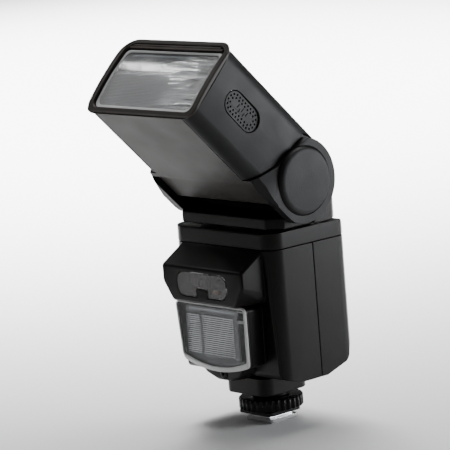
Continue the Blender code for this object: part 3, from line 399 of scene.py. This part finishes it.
def plate_with_holes(name, loops, thickness):
    """Flat plate in the xy plane, from z 0 up, with every loop but the first a hole."""
    curve = bpy.data.curves.new(name, "CURVE")
    curve.dimensions = "2D"
    curve.fill_mode = "BOTH"
    curve.extrude = thickness / 2
    for loop in loops:
        spline = curve.splines.new("POLY")
        spline.points.add(len(loop) - 1)
        for point, (a, b) in zip(spline.points, loop):
            point.co = (a, b, 0, 1)
        spline.use_cyclic_u = True
    source = bpy.data.objects.new(name + "_curve", curve)
    bpy.context.scene.collection.objects.link(source)
    bpy.context.view_layer.update()
    evaluated = source.evaluated_get(bpy.context.evaluated_depsgraph_get())
    mesh = bpy.data.meshes.new_from_object(evaluated)
    bpy.data.objects.remove(source, do_unlink=True)
    work = bmesh.new()
    work.from_mesh(mesh)
    bpy.data.meshes.remove(mesh)
    bmesh.ops.remove_doubles(work, verts=work.verts, dist=0.002 * MM)
    bmesh.ops.translate(work, verts=work.verts, vec=(0, 0, thickness / 2))
    return work


def circle(centre, radius, steps):
    return [(centre[0] + radius * cos(2 * pi * step / steps),
             centre[1] + radius * sin(2 * pi * step / steps)) for step in range(steps)]


def stadium(centre, reach, radius, steps):
    """Loop with straight sides and a half circle at a reach either side of the centre."""
    return [(centre[0] + side * reach + radius * cos(angle), centre[1] + radius * sin(angle))
            for side, first in ((1, -90), (-1, 90))
            for angle in [radians(first + 180 * step / steps) for step in range(steps + 1)]]


def rounded(corners, steps):
    """Loop through (a, b, radius) corners, each radius drawn as an arc."""
    outline = []
    for index, corner in enumerate(corners):
        point = Vector(corner[:2])
        if corner[2] <= 0:
            outline.append(tuple(point))
            continue
        before = (Vector(corners[index - 1][:2]) - point).normalized()
        after = (Vector(corners[(index + 1) % len(corners)][:2]) - point).normalized()
        half = before.angle(after) / 2
        centre = point + (before + after).normalized() * corner[2] / sin(half)
        arm = point + before * corner[2] / tan(half) - centre
        turn = -1 if before.cross(after) > 0 else 1
        for step in range(steps + 1):
            spin = Matrix.Rotation(turn * (pi - 2 * half) * step / steps, 2)
            outline.append(tuple(centre + spin @ arm))
    return outline


def box_loop(left, low, right, high, radius, steps, high_radius=None):
    """Rounded rectangle; its upper corners may have a radius of their own."""
    upper = radius if high_radius is None else high_radius
    return rounded([(left, low, radius), (right, low, radius), (right, high, upper),
                    (left, high, upper)], steps)


def rounded_half_width(z, low, high, half, low_radius, high_radius):
    """Half width of a rounded rectangle at height z."""
    for edge, radius in ((z - low, low_radius), (high - z, high_radius)):
        if edge < radius:
            return half - radius + (radius * radius - (radius - edge) ** 2) ** 0.5
    return half


def lofted_ring(name, loops, closed, smooth_angle, make=link_mesh):
    """Skin through loops of equal length; an open one gets a face at either end."""
    work = bmesh.new()
    rings = [[work.verts.new(point) for point in loop] for loop in loops]
    for first, second in zip(rings, rings[1:]):
        skin(work, first, second)
    if closed:
        skin(work, rings[-1], rings[0])
    else:
        work.faces.new(rings[0])
        work.faces.new(rings[-1])
    return make(name, work, smooth_angle)


def ribbed_slab(loops):
    """Solid between two side outlines that run up the front and back down the rear."""
    work = bmesh.new()
    left, right = [[work.verts.new(point) for point in loop] for loop in loops]
    skin(work, left, right)
    for side in (left, right):
        for index in range(len(side) // 2 - 1):
            work.faces.new((side[index], side[index + 1], side[-2 - index], side[-1 - index]))
    return work


def turned_mesh(profile, steps, scale):
    """Closed solid turned about z from (radius, height) points that start and end at radius 0."""
    work = bmesh.new()
    rings = []
    for radius, height in profile:
        if radius == 0:
            rings.append([work.verts.new((0, 0, height * scale))])
        else:
            rings.append([work.verts.new((radius * scale * cos(2 * pi * step / steps),
                                          radius * scale * sin(2 * pi * step / steps),
                                          height * scale)) for step in range(steps)])
    for first, second in zip(rings, rings[1:]):
        for step in range(steps):
            after = (step + 1) % steps
            corners = [first[step % len(first)], first[after % len(first)],
                       second[after % len(second)], second[step % len(second)]]
            face = list(dict.fromkeys(corners))
            if len(face) > 2:
                work.faces.new(face)
    return work


def lay_along_y(work, place):
    """Turn a solid drawn along z to lie along +y, and move it to its place."""
    turn = Matrix.Rotation(radians(-90), 3, "X")
    bmesh.ops.rotate(work, verts=work.verts, matrix=turn)
    bmesh.ops.translate(work, verts=work.verts, vec=place)


# --------------------------------------------------------------------------
# Finishes
# --------------------------------------------------------------------------

CASING = (0.003, 0.0025, 0.0022)
HEAD_GREY = (0.0085, 0.0086, 0.0092)
WARM_GREY = (0.026, 0.0235, 0.0215)

# What each slot of the CAD model is made of, and below it what only the added pieces use.
FINISH = {
    "black_casing": moulded_plastic("black_casing_finish", CASING, 0.34, 0.28, 2.2, 0.17),
    "soft_black": moulded_plastic("soft_black_finish", HEAD_GREY, 0.44, 0.4, 1.9, 0.19),
    "warm_cover": moulded_plastic("warm_cover_finish", WARM_GREY, 0.5, 0.4, 1.4),
    "bezel": moulded_plastic("bezel_finish", (0.018, 0.0135, 0.0105), 0.36, 0.15, 1.6, 0.2),
    "clear_lens": clear_plastic("clear_lens_finish", (0.86, 0.88, 0.9), 0.08),
    "smoked_window": clear_plastic("smoked_window_finish", (0.4, 0.39, 0.4), 0.04, 0.985, 0.02),
    "lcd_cover": clear_plastic("lcd_cover_finish", (0.75, 0.78, 0.76), 0.03, 1.0, 0.01),
    "lcd_glass": plain_finish("lcd_glass_finish", (0.16, 0.19, 0.13), 0.22, 0.0, 1400, 0.04),
    "reflector_metal": brushed_metal("reflector_finish", (0.88, 0.89, 0.9), 0.14, (2000, 60, 60)),
    "tube_glass": clear_plastic("tube_glass_finish", (0.93, 0.93, 0.9), 0.02, 1.0, 0.01),
    "steel": brushed_metal("steel_finish", (0.62, 0.62, 0.63), 0.26),
    "brass": brushed_metal("brass_finish", (0.78, 0.58, 0.24), 0.24),
    "ring_plastic": moulded_plastic("ring_finish", (0.004, 0.0037, 0.0035), 0.24, 0.12, 2.2, 0.16),
    "board": plain_finish("board_finish", (0.02, 0.12, 0.05), 0.35),
    "cell_jacket": plain_finish("cell_finish", (0.03, 0.032, 0.04), 0.28, 0.3, 700, 0.05),
    "capacitor_sleeve": plain_finish("capacitor_finish", (0.015, 0.016, 0.022), 0.3, 0.0, 500,
                                     0.06),
    "key_rubber": plain_finish("key_finish", (0.035, 0.035, 0.037), 0.62, 0.0, 2200, 0.3),
    "switch_grey": plain_finish("switch_finish", (0.2, 0.2, 0.21), 0.5, 0.0, 2200, 0.25),
    "white_card": plain_finish("card_finish", (0.8, 0.79, 0.75), 0.55, 0.0, 1800, 0.2),
    "lamp_amber": plain_finish("lamp_finish", (0.13, 0.09, 0.06), 0.25, 0.0, 800, 0.08),
    "bearing_plastic": plain_finish("bearing_finish", (0.6, 0.6, 0.57), 0.45),
}
# Near-black finish: the sensor's own black in its notch, and painted shade in the sheets behind the
# grille holes and the fill flash slot.
BLACK_AND_PAINTED_SHADE = plain_finish("backing_felt", (0.004, 0.004, 0.004), 0.9, 0.0, 2600, 0.5)
MILKY = clear_plastic("milky_wall_finish", (0.92, 0.93, 0.93), 0.22, 0.45, 0.05)
SHEET = clear_plastic("ribbed_sheet_finish", (0.56, 0.57, 0.58), 0.06, 0.95, 0.04)
PANE = clear_plastic("flash_pane_finish", (0.82, 0.83, 0.84), 0.03, 1.0, 0.02, 1.22)
PALE_TAB = plain_finish("pale_tab_finish", (0.3, 0.3, 0.31), 0.5)
AMBER = plain_finish("amber_lamp_finish", (0.95, 0.5, 0.14), 0.2, 0.0, 900, 0.05)
PAINT = plain_finish("mark_paint_finish", (0.62, 0.62, 0.6), 0.5, 0.0, 2500, 0.1)
INK = plain_finish("display_ink_finish", (0.03, 0.035, 0.03), 0.4, 0.0, 2500, 0.05)
DARK_STEEL = brushed_metal("dark_steel_finish", (0.16, 0.16, 0.165), 0.32)


def dress_nodes():
    """Give every CAD node the finish its slot names, and soften its edges."""
    edge_widths = {"front_casing": 0.35, "rear_casing": 0.35, "top_cover": 0.3,
                   "swivel_base": 0.35, "head_upper_shell": 0.3, "lens_bezel": 0.35,
                   "foot_flange": 0.25, "sensor_window": 0.3, "tilt_housing": 0.3}
    for name, node in NODES.items():
        for slot in node.material_slots:
            slot.material = FINISH[slot.material.name.split(".")[0]]
        node.data.shade_smooth()
        round_edges(node, edge_widths.get(name, 0.15))


# --------------------------------------------------------------------------
# Head: lens, slabs and grilles
# --------------------------------------------------------------------------

def lens_front(nearest, z):
    """y of the lens's outer face at height z: bowed, with a step across it."""
    bow, middle, step_z, step = 150 * MM, 3 * MM, 6.6 * MM, 0.22 * MM
    bowed = nearest + bow - (bow * bow - (z - middle) ** 2) ** 0.5
    return bowed + (step if z > step_z else 0.0)


def ribbed_lens():
    """Front lens with prisms along the inside that blur what shows through it."""
    low, high = head_box("fresnel_lens")
    rib, depth, margin = 0.82 * MM, 0.28 * MM, 0.001 * MM
    low_radius, high_radius = 3.7 * MM, 3 * MM
    rows = 2 * int((high.z - low.z) / rib)
    levels = [low.z + (high.z - low.z) * row / rows for row in range(rows + 1)]
    profile = [(lens_front(low.y, z), z) for z in levels]
    profile += [(high.y - (depth if row % 2 else 0.0), levels[row]) for row in range(rows, -1, -1)]
    loops = [[(side * rounded_half_width(z, low.z - margin, high.z + margin, high.x, low_radius,
                                         high_radius), y, z) for y, z in profile]
             for side in (-1, 1)]
    lens = head_piece("front_lens", ribbed_slab(loops))
    finish_piece(lens, "head", lens_finish(), ["fresnel_lens"])


def lens_border():
    """Milky frame on the lens that follows its bow and its step."""
    low, high = head_box("fresnel_lens")
    low_radius, high_radius = 3.4 * MM, 2.8 * MM
    long_side, cuts_along = 5 * MM, 8
    loops = []
    for inset, lift in ((0.3, 0.5), (0.3, -0.12), (1.5, -0.12), (1.75, 0.1)):
        inset *= MM
        corners = box_loop(low.x + inset, low.z + inset, high.x - inset, high.z - inset,
                           low_radius, 5, high_radius)
        loop = []
        for index, (x, z) in enumerate(corners):
            x2, z2 = corners[(index + 1) % len(corners)]
            cuts = cuts_along if abs(z2 - z) > long_side else 1
            loop += [(x + (x2 - x) * cut / cuts, z + (z2 - z) * cut / cuts) for cut in range(cuts)]
        loops.append([(x, lens_front(low.y, z) + lift * MM, z) for x, z in loop])
    border = lofted_ring("lens_border", loops, True, 50, head_piece)
    finish_piece(border, "head", MILKY)


def bezel_liner():
    """Thin dark frame within the bezel; it closes the upper corners behind the slabs."""
    low, high = head_box("lens_bezel")
    front, rear = high.y - 0.7 * MM, high.y - 0.02 * MM
    low_radius = 4 * MM
    outer, inner = (0.6, 0.6, 8.6), (3.6, 2.55, 5.0)
    loops = []
    for (side_inset, top_inset, high_radius), y in ((outer, rear), (outer, front),
                                                    (inner, front), (inner, rear)):
        outline = box_loop(low.x + side_inset * MM, low.z + side_inset * MM,
                           high.x - side_inset * MM, high.z - top_inset * MM, low_radius, 6,
                           high_radius * MM)
        loops.append([(x, y, z) for x, z in outline])
    liner = lofted_ring("bezel_liner", loops, True, 40, head_piece)
    finish_piece(liner, "head", FINISH["bezel"])


def slab_tabs():
    """Dark pull edges on the wide panel and the bounce card, in the slot over the lens."""
    gap, reach = 0.04 * MM, 5 * MM
    for name in ("wide_panel", "bounce_card"):
        low, high = head_box(name)
        left, right, front = low.x - gap, high.x + gap, low.y - gap
        bottom, top = low.z - gap, high.z + gap
        work = bmesh.new()
        extrude_outline(work, [(left, front, bottom), (right, front, bottom), (right, front, top),
                               (left, front, top)], Vector((0, reach, 0)))
        finish_piece(head_piece(name + "_tab", work), name, FINISH["bezel"])


def grille_loops(centre, half_length, radius):
    """Stadium plate: two staggered rows of holes round its edge, slots in the middle."""
    reach, rim_gap, hole, slot_pitch = half_length - radius, 0.14 * MM, 0.58 * MM, 1.7 * MM

    def on_stadium(inset, share):
        """Point at a share of the way round the stadium moved inwards by inset."""
        bend = radius - inset
        straight, curve = 2 * reach, pi * bend
        along = share * (2 * straight + 2 * curve)
        if along < straight:
            return (centre[0] + reach - along, centre[1] + bend)
        along -= straight
        if along < curve:
            angle = pi / 2 + along / bend
            return (centre[0] - reach + bend * cos(angle), centre[1] + bend * sin(angle))
        along -= curve
        if along < straight:
            return (centre[0] - reach + along, centre[1] - bend)
        angle = -pi / 2 + (along - straight) / bend
        return (centre[0] + reach + bend * cos(angle), centre[1] + bend * sin(angle))

    loops = [stadium(centre, reach, radius - rim_gap, 12)]
    for inset, count, shift in ((1.55, 24, 0.0), (3.15, 18, 0.5)):
        loops += [circle(on_stadium(inset * MM, (index + shift) / count), hole, 10)
                  for index in range(count)]
    for index in range(5):
        across = centre[0] + (index - 2) * slot_pitch
        lift = (-0.7 if index % 2 else 0.7) * MM
        loops.append([(across + a * MM, centre[1] + lift + b * MM) for a, b in
                      ((-0.45, -1.1), (0.05, -1.1), (0.45, 1.1), (-0.05, 1.1))])
    return loops


def side_grilles():
    """Pierced plates on the head's sides, each with a near-black sheet of painted shade behind it.
    """
    thickness, least_sunk = 0.9 * MM, 0.05
    shade_inset, shade_depth, shade_thickness = 0.4 * MM, 1.9 * MM, 0.1 * MM
    for name, side in (("left", -1), ("right", 1)):
        low, high = head_box("side_grille_" + name)
        centre = ((low.y + high.y) / 2, (low.z + high.z) / 2)
        half_length, radius = (high.y - low.y) / 2, (high.z - low.z) / 2
        outer = high.x if side > 0 else low.x
        work = plate_with_holes("grille", grille_loops(centre, half_length, radius), thickness)
        for vertex in work.verts:
            y, z, lift = vertex.co
            # Sunk towards the rear and the top, level with the shell at the lower front.
            sunk = 0.45 + 0.4 * ((y - centre[0]) / half_length) + 0.25 * ((z - centre[1]) / radius)
            inwards = max(least_sunk, sunk) * MM + thickness - lift
            vertex.co = (outer - side * inwards, y, z)
        grille = head_piece("cooling_grille_" + name, work, 35)
        finish_piece(grille, "head", FINISH["soft_black"], ["side_grille_" + name])

        # Painted shade: a near-black sheet behind the holes stands in for the shade inside the
        # head.
        back = bmesh.new()
        outline = stadium(centre, half_length - radius, radius - shade_inset, 10)
        extrude_outline(back, [(outer - side * shade_depth, y, z) for y, z in outline],
                        Vector((-side * shade_thickness, 0, 0)))
        shade_sheet = head_piece("grille_backing_" + name, back)
        finish_piece(shade_sheet, "head", BLACK_AND_PAINTED_SHADE)


# --------------------------------------------------------------------------
# Foot: the knurled ring
# --------------------------------------------------------------------------

def knurled_ring():
    """Clamp ring with ridges round it, chamfered at both edges."""
    low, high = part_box("lock_ring")
    outer, bore, ribs, samples = high.x, 8.6 * MM, 30, 10
    depth, chamfer, ridge_share = 0.9 * MM, 0.7 * MM, 0.72
    levels = [(low.z, 1.3 * MM), (low.z + chamfer * 0.4, 0.5 * MM), (low.z + chamfer, 0.0),
              (high.z - chamfer, 0.0), (high.z - chamfer * 0.4, 0.5 * MM), (high.z, 1.3 * MM)]
    count = ribs * samples
    loops = []
    for z, inset in levels:
        loop = []
        for index in range(count):
            phase = (index % samples) / samples
            ridge = 0.0
            if phase < ridge_share:
                ridge = max(0.0, sin(pi * phase / ridge_share)) ** 0.45
            radius = min(outer - depth + depth * ridge, outer - inset)
            angle = 2 * pi * index / count
            loop.append((radius * cos(angle), radius * sin(angle), z))
        loops.append(loop)
    loops += [[(x, y, z) for x, y in circle((0, 0), bore, count)] for z in (high.z, low.z)]
    ring = lofted_ring("knurled_ring", loops, True, 50)
    finish_piece(ring, "lock_ring", FINISH["ring_plastic"], ["lock_ring"])


# --------------------------------------------------------------------------
# Body front: fill flash and sensor window
# --------------------------------------------------------------------------

WINDOW_SAG = 4.2 * MM
WINDOW_TAPER = 1.4 * MM


def window_loop(inset, lift):
    """Outline of the fill flash cap in x and z, inset, its bowed lower edge lifted further."""
    low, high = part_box("sub_flash_window")
    half_top, half_low = high.x - inset, high.x - WINDOW_TAPER - inset
    corner_z = low.z + WINDOW_SAG + inset + lift
    low_radius, high_radius = [max(radius - inset, 0.5 * MM) for radius in (3.2 * MM, 2.4 * MM)]
    points = [(-half_low, corner_z, low_radius)]
    for step in range(-5, 6):
        share = step / 6
        points.append((half_low * share, corner_z - WINDOW_SAG * (1 - share * share), 0))
    points += [(half_low, corner_z, low_radius), (half_top, high.z - inset, high_radius),
               (-half_top, high.z - inset, high_radius)]
    return rounded(points, 6)


def window_face(z, behind):
    """y of the cap's sloping front, or of a face that lies behind it."""
    low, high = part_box("sub_flash_window")
    slope = 1.5 * MM / (high.z - low.z)
    return low.y + slope * (high.z - z) + behind


def window_section(section):
    """Loops round the window from (inset, lift, distance behind its face), all in mm."""
    return [[(x, window_face(z, behind * MM), z) for x, z in window_loop(inset * MM, lift * MM)]
            for inset, lift, behind in section]


def fill_flash_window():
    """Clear pane in a thin milky rim with a broad bevelled foot, and a dark lip behind it."""
    foot = 1.65
    rim = lofted_ring("flash_rim", window_section(
        [(0.0, 0.0, 1.3), (0.0, 0.0, 0.9), (0.12, 0.25, 0.55), (0.4, 1.2, 0.1),
         (0.6, 1.5, 0.0), (0.85, 1.6, 0.05), (0.95, foot, 0.35), (0.95, foot, 1.3)]), True, 50)
    finish_piece(rim, "body", MILKY, ["sub_flash_window"])
    lip = lofted_ring("flash_lip", window_section(
        [(0.12, 0.0, 1.35), (0.12, 0.0, 2.9), (2.0, 0.0, 2.9), (2.0, 0.0, 1.35)]), True, 50)
    finish_piece(lip, "body", FINISH["black_casing"])
    pane = lofted_ring("flash_pane", window_section(
        [(1.2, foot, 0.35), (1.05, foot, 0.55), (1.05, foot, 1.2), (1.2, foot, 1.2)]), False, 40)
    finish_piece(pane, "body", PANE)


def ribbed_sheet():
    """Diffuser just before the reflector: fine ribs, a bowed foot, bars at its sides, a highlight
    bar and a painted-shade plate behind the slot.
    """
    low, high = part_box("sub_flash_reflector")
    ends, bottom, top = (-20.8 * MM, 13.0 * MM), low.z - 0.1 * MM, high.z + 1.1 * MM
    front, thick = low.y - 0.95 * MM, 0.4 * MM
    pitch, depth = 1.02 * MM, 0.5 * MM
    rib_low, rib_high = bottom + 0.6 * MM, top - 3.4 * MM
    profile = [(bottom, 0.0)]
    for rib in range(int((rib_high - rib_low) / pitch)):
        z = rib_low + rib * pitch
        profile += [(z, 0.0), (z + pitch * 0.3, depth * 0.8), (z + pitch * 0.5, depth),
                    (z + pitch * 0.7, depth * 0.8)]
    profile += [(rib_high, 0.0), (top, 0.0)]
    loops = [[(x, front - lift, z) for z, lift in profile]
             + [(x, front + thick, point[0]) for point in reversed(profile)] for x in ends]
    finish_piece(link_mesh("ribbed_sheet", ribbed_slab(loops)), "body", SHEET)

    window_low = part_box("sub_flash_window")[0].z
    half, steps, gap = 19.3 * MM, 8, 0.1 * MM
    bow_low, bow_rise = window_low + 2.6 * MM, 0.67 * WINDOW_SAG
    foot = [(half * step / steps, bow_low + bow_rise * (step / steps) ** 2)
            for step in range(-steps, steps + 1)]
    foot += [(half, bottom - gap), (-half, bottom - gap)]
    bar_front, bar_thick, shade_plate_thick, corner = front - 0.5 * MM, 0.7 * MM, 0.2 * MM, 0.25 * MM
    strips = [("foot", foot, SHEET, 0.0, bar_thick)]
    for name, x_low, x_high, z_low, z_high, material, behind, thickness in (
            ("band", 13.2, 16.4, 36.8, 61.8, SHEET, 0.0, bar_thick),
            # Painted highlight: a thin bar in the sheet's finish stands in for the glint off the
            # reflector's end wall.
            ("highlight_bar", -10.6, -10.1, 37.0, 59.0, SHEET, 0.0, bar_thick),
            ("bridge", 16.6, 20.6, 55.4, 56.8, MILKY, 0.0, bar_thick),
            ("clip", 16.6, 20.6, 60.6, 61.8, MILKY, 0.0, bar_thick),
            ("edge", 20.7, 21.3, 37.2, 61.6, MILKY, 0.0, bar_thick),
            # Painted shade: a near-black plate behind the slot stands in for the shade seen through
            # it.
            ("slot", 16.5, 20.9, 36.8, 61.8, BLACK_AND_PAINTED_SHADE, 0.75, shade_plate_thick)):
        outline = box_loop(x_low * MM, z_low * MM, x_high * MM, z_high * MM, corner, 3)
        strips.append((name, outline, material, behind * MM, thickness))
    for name, outline, material, behind, thickness in strips:
        work = bmesh.new()
        extrude_outline(work, [(x, bar_front + behind, z) for x, z in outline],
                        Vector((0, thickness, 0)))
        strip = link_mesh("sheet_" + name, work)
        round_edges(strip, 0.1)
        finish_piece(strip, "body", material)


def sensor_inside():
    """What shows through the smoked window: ribs, a bright tab and three small lamps."""
    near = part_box("sensor_window")[1].y + 0.2 * MM
    rib_depth, corner = 1.2 * MM, 0.3 * MM
    black = FINISH["black_casing"]
    for number, (x, half, bottom, top, material) in enumerate(
            ((-4.6, 0.9, 72.6, 78.6, black), (3.4, 1.1, 72.4, 78.6, black),
             (-0.6, 1.7, 72.6, 75.6, PALE_TAB))):
        outline = box_loop((x - half) * MM, bottom * MM, (x + half) * MM, top * MM, corner, 3)
        work = bmesh.new()
        extrude_outline(work, [(a, near, b) for a, b in outline], Vector((0, rib_depth, 0)))
        rib = link_mesh("sensor_rib_%d" % (number + 1), work)
        round_edges(rib, 0.15)
        finish_piece(rib, "body", material)
    profile = [(0.0, 0.0), (0.45, 0.08), (0.8, 0.3), (1.0, 0.75), (1.0, 1.8), (0, 1.8)]
    for number, (x, z, radius) in enumerate(((-5.7, 70.6, 1.15), (6.9, 70.4, 1.3),
                                             (9.6, 70.2, 1.0))):
        dome = turned_mesh(profile, 20, radius * MM)
        lay_along_y(dome, (x * MM, near, z * MM))
        lamp = link_mesh("sensor_lamp_%d" % (number + 1), dome, 60)
        finish_piece(lamp, "body", AMBER)


def sensor_notch():
    """Dark opening of the sensor, in the notch of the smoked window."""
    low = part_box("sensor_window")[0]
    half, proud, thickness = 3.6 * MM, 0.02 * MM, 0.3 * MM
    outline = box_loop(-half, low.z - 0.6 * MM, half, low.z + 3.6 * MM, 0.4 * MM, 4, 0.5 * MM)
    work = bmesh.new()
    extrude_outline(work, [(x, low.y - proud, z) for x, z in outline], Vector((0, thickness, 0)))
    notch = link_mesh("sensor_notch", work)
    round_edges(notch, 0.08)
    finish_piece(notch, "body", BLACK_AND_PAINTED_SHADE)


def socket_sleeve():
    """Dark sleeve that leaves only the socket's narrow metal lip bright."""
    low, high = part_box("sync_socket")
    centre = (low + high) / 2
    radius = (high.x - low.x) / 2
    collar = turned_mesh([(0, 0.9), (0.34, 0.9), (0.36, -0.08), (0.52, -0.1), (0.86, -0.08),
                          (0.98, 0.02), (1.0, 0.5), (0, 0.95)], 32, radius)
    lay_along_y(collar, (centre.x, low.y, centre.z))
    sleeve = link_mesh("socket_sleeve", collar, 40)
    finish_piece(sleeve, "body", FINISH["ring_plastic"])


# --------------------------------------------------------------------------
# Back: display, key marks, lamp; screws under the body
# --------------------------------------------------------------------------

def flat_mark(name, outline, y, body, material, thickness=0.12 * MM):
    """Raised mark on a face that looks towards +Y."""
    sunk = 0.02 * MM
    work = bmesh.new()
    extrude_outline(work, [(x, y - sunk, z) for x, z in outline], Vector((0, thickness, 0)))
    mark = link_mesh(name, work)
    round_edges(mark, 0.03, 1)
    finish_piece(mark, body, material)


def bar(centre_x, centre_z, half_x, half_z, radius=0.15):
    """Rounded bar in mm, as a loop in metres."""
    radius = min(radius, half_x * 0.9, half_z * 0.9)
    outline = box_loop(centre_x - half_x, centre_z - half_z, centre_x + half_x, centre_z + half_z,
                       radius, 3)
    return [(x * MM, z * MM) for x, z in outline]


def plus_shape(centre_x, centre_z, arm, half):
    """Plus sign in mm, as a loop in metres."""
    loop = []
    for turn in range(4):
        angle = -pi / 2 * turn
        for x, z in ((half, half), (arm, half), (arm, -half)):
            loop.append((x * cos(angle) - z * sin(angle), x * sin(angle) + z * cos(angle)))
    return [((centre_x + x) * MM, (centre_z + z) * MM) for x, z in loop]


def key_marks():
    """Plain signs on the five keys and three grip lines on the power switch."""
    marks = {"mode_key": [(bar, (-0.9, 0.0, 0.25, 0.7)), (bar, (0.0, 0.0, 0.25, 1.0)),
                          (bar, (0.9, 0.0, 0.25, 1.3))],
             "test_key": [(bar, (0.0, 0.0, 0.75, 0.75, 0.7))],
             "zoom_key": [(bar, (0.0, 0.75, 1.2, 0.22)), (bar, (0.0, -0.75, 1.2, 0.22))],
             "minus_key": [(bar, (0.0, 0.0, 1.1, 0.22))],
             "plus_key": [(plus_shape, (0.0, 0.0, 1.1, 0.22))]}
    for key, shapes in marks.items():
        low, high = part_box(key)
        centre = (low + high) / 2 / MM
        for number, (shape, values) in enumerate(shapes):
            loop = shape(centre.x + values[0], centre.z + values[1], *values[2:])
            flat_mark("%s_mark_%d" % (key, number + 1), loop, high.y, key, PAINT)
    low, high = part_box("power_switch")
    centre = (low + high) / 2 / MM
    for step in (-1, 0, 1):
        flat_mark("switch_grip_%d" % (step + 2), bar(centre.x + step * 1.3, centre.z, 0.25, 1.2),
                  high.y, "power_switch", FINISH["switch_grey"], 0.35 * MM)


def display():
    """Blank display behind the cover: level bars and lines, with no characters."""
    low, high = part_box("lcd_module")
    side_margin, end_margin, bar_margin, bars = 3.5, 4.0, 2.0, 9
    left, right = low.x / MM + side_margin, high.x / MM - side_margin
    base, top = low.z / MM + end_margin, high.z / MM - end_margin
    middle = (left + right) / 2

    def ink(name, *values):
        flat_mark(name, bar(*values), high.y, "body", INK, 0.06 * MM)

    for number in range(bars):
        x = left + bar_margin + number * (right - left - 2 * bar_margin) / (bars - 1)
        rise = 0.12 * number
        ink("level_bar_%d" % (number + 1), x, base + 1.2 + rise, 1.1, 0.5 + rise)
    ink("display_line", middle, base + 4.6, (right - left) / 2, 0.12)
    for number, (x, half) in enumerate(((left + 4.0, 4.0), (middle, 3.0), (right - 4.0, 4.0))):
        for edge, z in (("low", base + 6.6), ("high", top - 0.6)):
            ink("display_%s_%d" % (edge, number + 1), x, z, half, 0.18)


def display_mask():
    """Dark mask under the display's cover, with an opening over the display."""
    low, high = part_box("lcd_window")
    outer, inner_x, inner_z = 1.1 * MM, 1.8 * MM, 1.6 * MM
    narrower, thickness, behind = 0.955, 0.2 * MM, 0.35 * MM
    edge = box_loop(low.x - outer, low.z - outer, high.x + outer, high.z + outer, 2 * MM, 6)
    opening = box_loop(low.x + inner_x, low.z + inner_z, high.x - inner_x, high.z - inner_z,
                       1 * MM, 6)
    work = plate_with_holes("mask", [[(x * narrower, z) for x, z in edge], opening], thickness)
    for vertex in work.verts:
        x, z, lift = vertex.co
        vertex.co = (x, low.y - behind + lift, min(max(z, low.z), high.z))
    mask = link_mesh("display_mask", work)
    finish_piece(mask, "body", FINISH["ring_plastic"])


def pilot_lamp():
    """Small amber lamp on the back, beside the test key."""
    low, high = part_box("test_key")
    aside, radius = 8 * MM, 1.1 * MM
    lens = turned_mesh([(0, 0.28), (0.5, 0.24), (0.85, 0.1), (1.0, -0.1), (1.0, -0.5), (0, -0.5)],
                       24, radius)
    lay_along_y(lens, ((low.x + high.x) / 2 + aside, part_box("rear_casing")[1].y,
                       (low.z + high.z) / 2))
    finish_piece(link_mesh("pilot_lamp", lens, 50), "body", AMBER)


def screw_head(name, place):
    """Countersunk cross-head screw that looks down, its cross cut into the head."""
    radius, half_length, half_width, cross_turn = 1.9, 1.1, 0.22, 20
    head = turned_mesh([(0, 0.0), (radius * 0.82, 0.0), (radius, -0.18), (radius, -0.6),
                        (0, -0.6)], 28, MM)
    piece = link_mesh(name, head)
    for turn in (0, 90):
        arm = bmesh.new()
        extrude_outline(arm, [(x * half_length * MM, y * half_width * MM, -0.35 * MM)
                              for x, y in ((-1, -1), (1, -1), (1, 1), (-1, 1))],
                        Vector((0, 0, 1 * MM)))
        spin = Matrix.Rotation(radians(turn + cross_turn), 3, "Z")
        bmesh.ops.rotate(arm, verts=arm.verts, matrix=spin)
        cut_away(piece, link_mesh("cross", arm))
    smooth(piece.data, 35)
    downwards = Vector((0, 0, -1)).to_track_quat("Z", "Y").to_matrix().to_4x4()
    piece.matrix_world = Matrix.Translation(place) @ downwards
    finish_piece(piece, "body", DARK_STEEL)


def casing_screws():
    """Two screws up through the floor of the rear casing."""
    floor_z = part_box("rear_casing")[0].z
    aside, rearwards, sunk = 24 * MM, 10 * MM, 0.01 * MM
    for name, side in (("left", -1), ("right", 1)):
        screw_head("rear_screw_" + name, (side * aside, rearwards, floor_z + sunk))


place_camera()
light_studio()
lay_floor()
dress_nodes()
ribbed_lens()
lens_border()
bezel_liner()
slab_tabs()
side_grilles()
knurled_ring()
fill_flash_window()
ribbed_sheet()
sensor_inside()
sensor_notch()
socket_sleeve()
key_marks()
display()
display_mask()
pilot_lamp()
casing_screws()
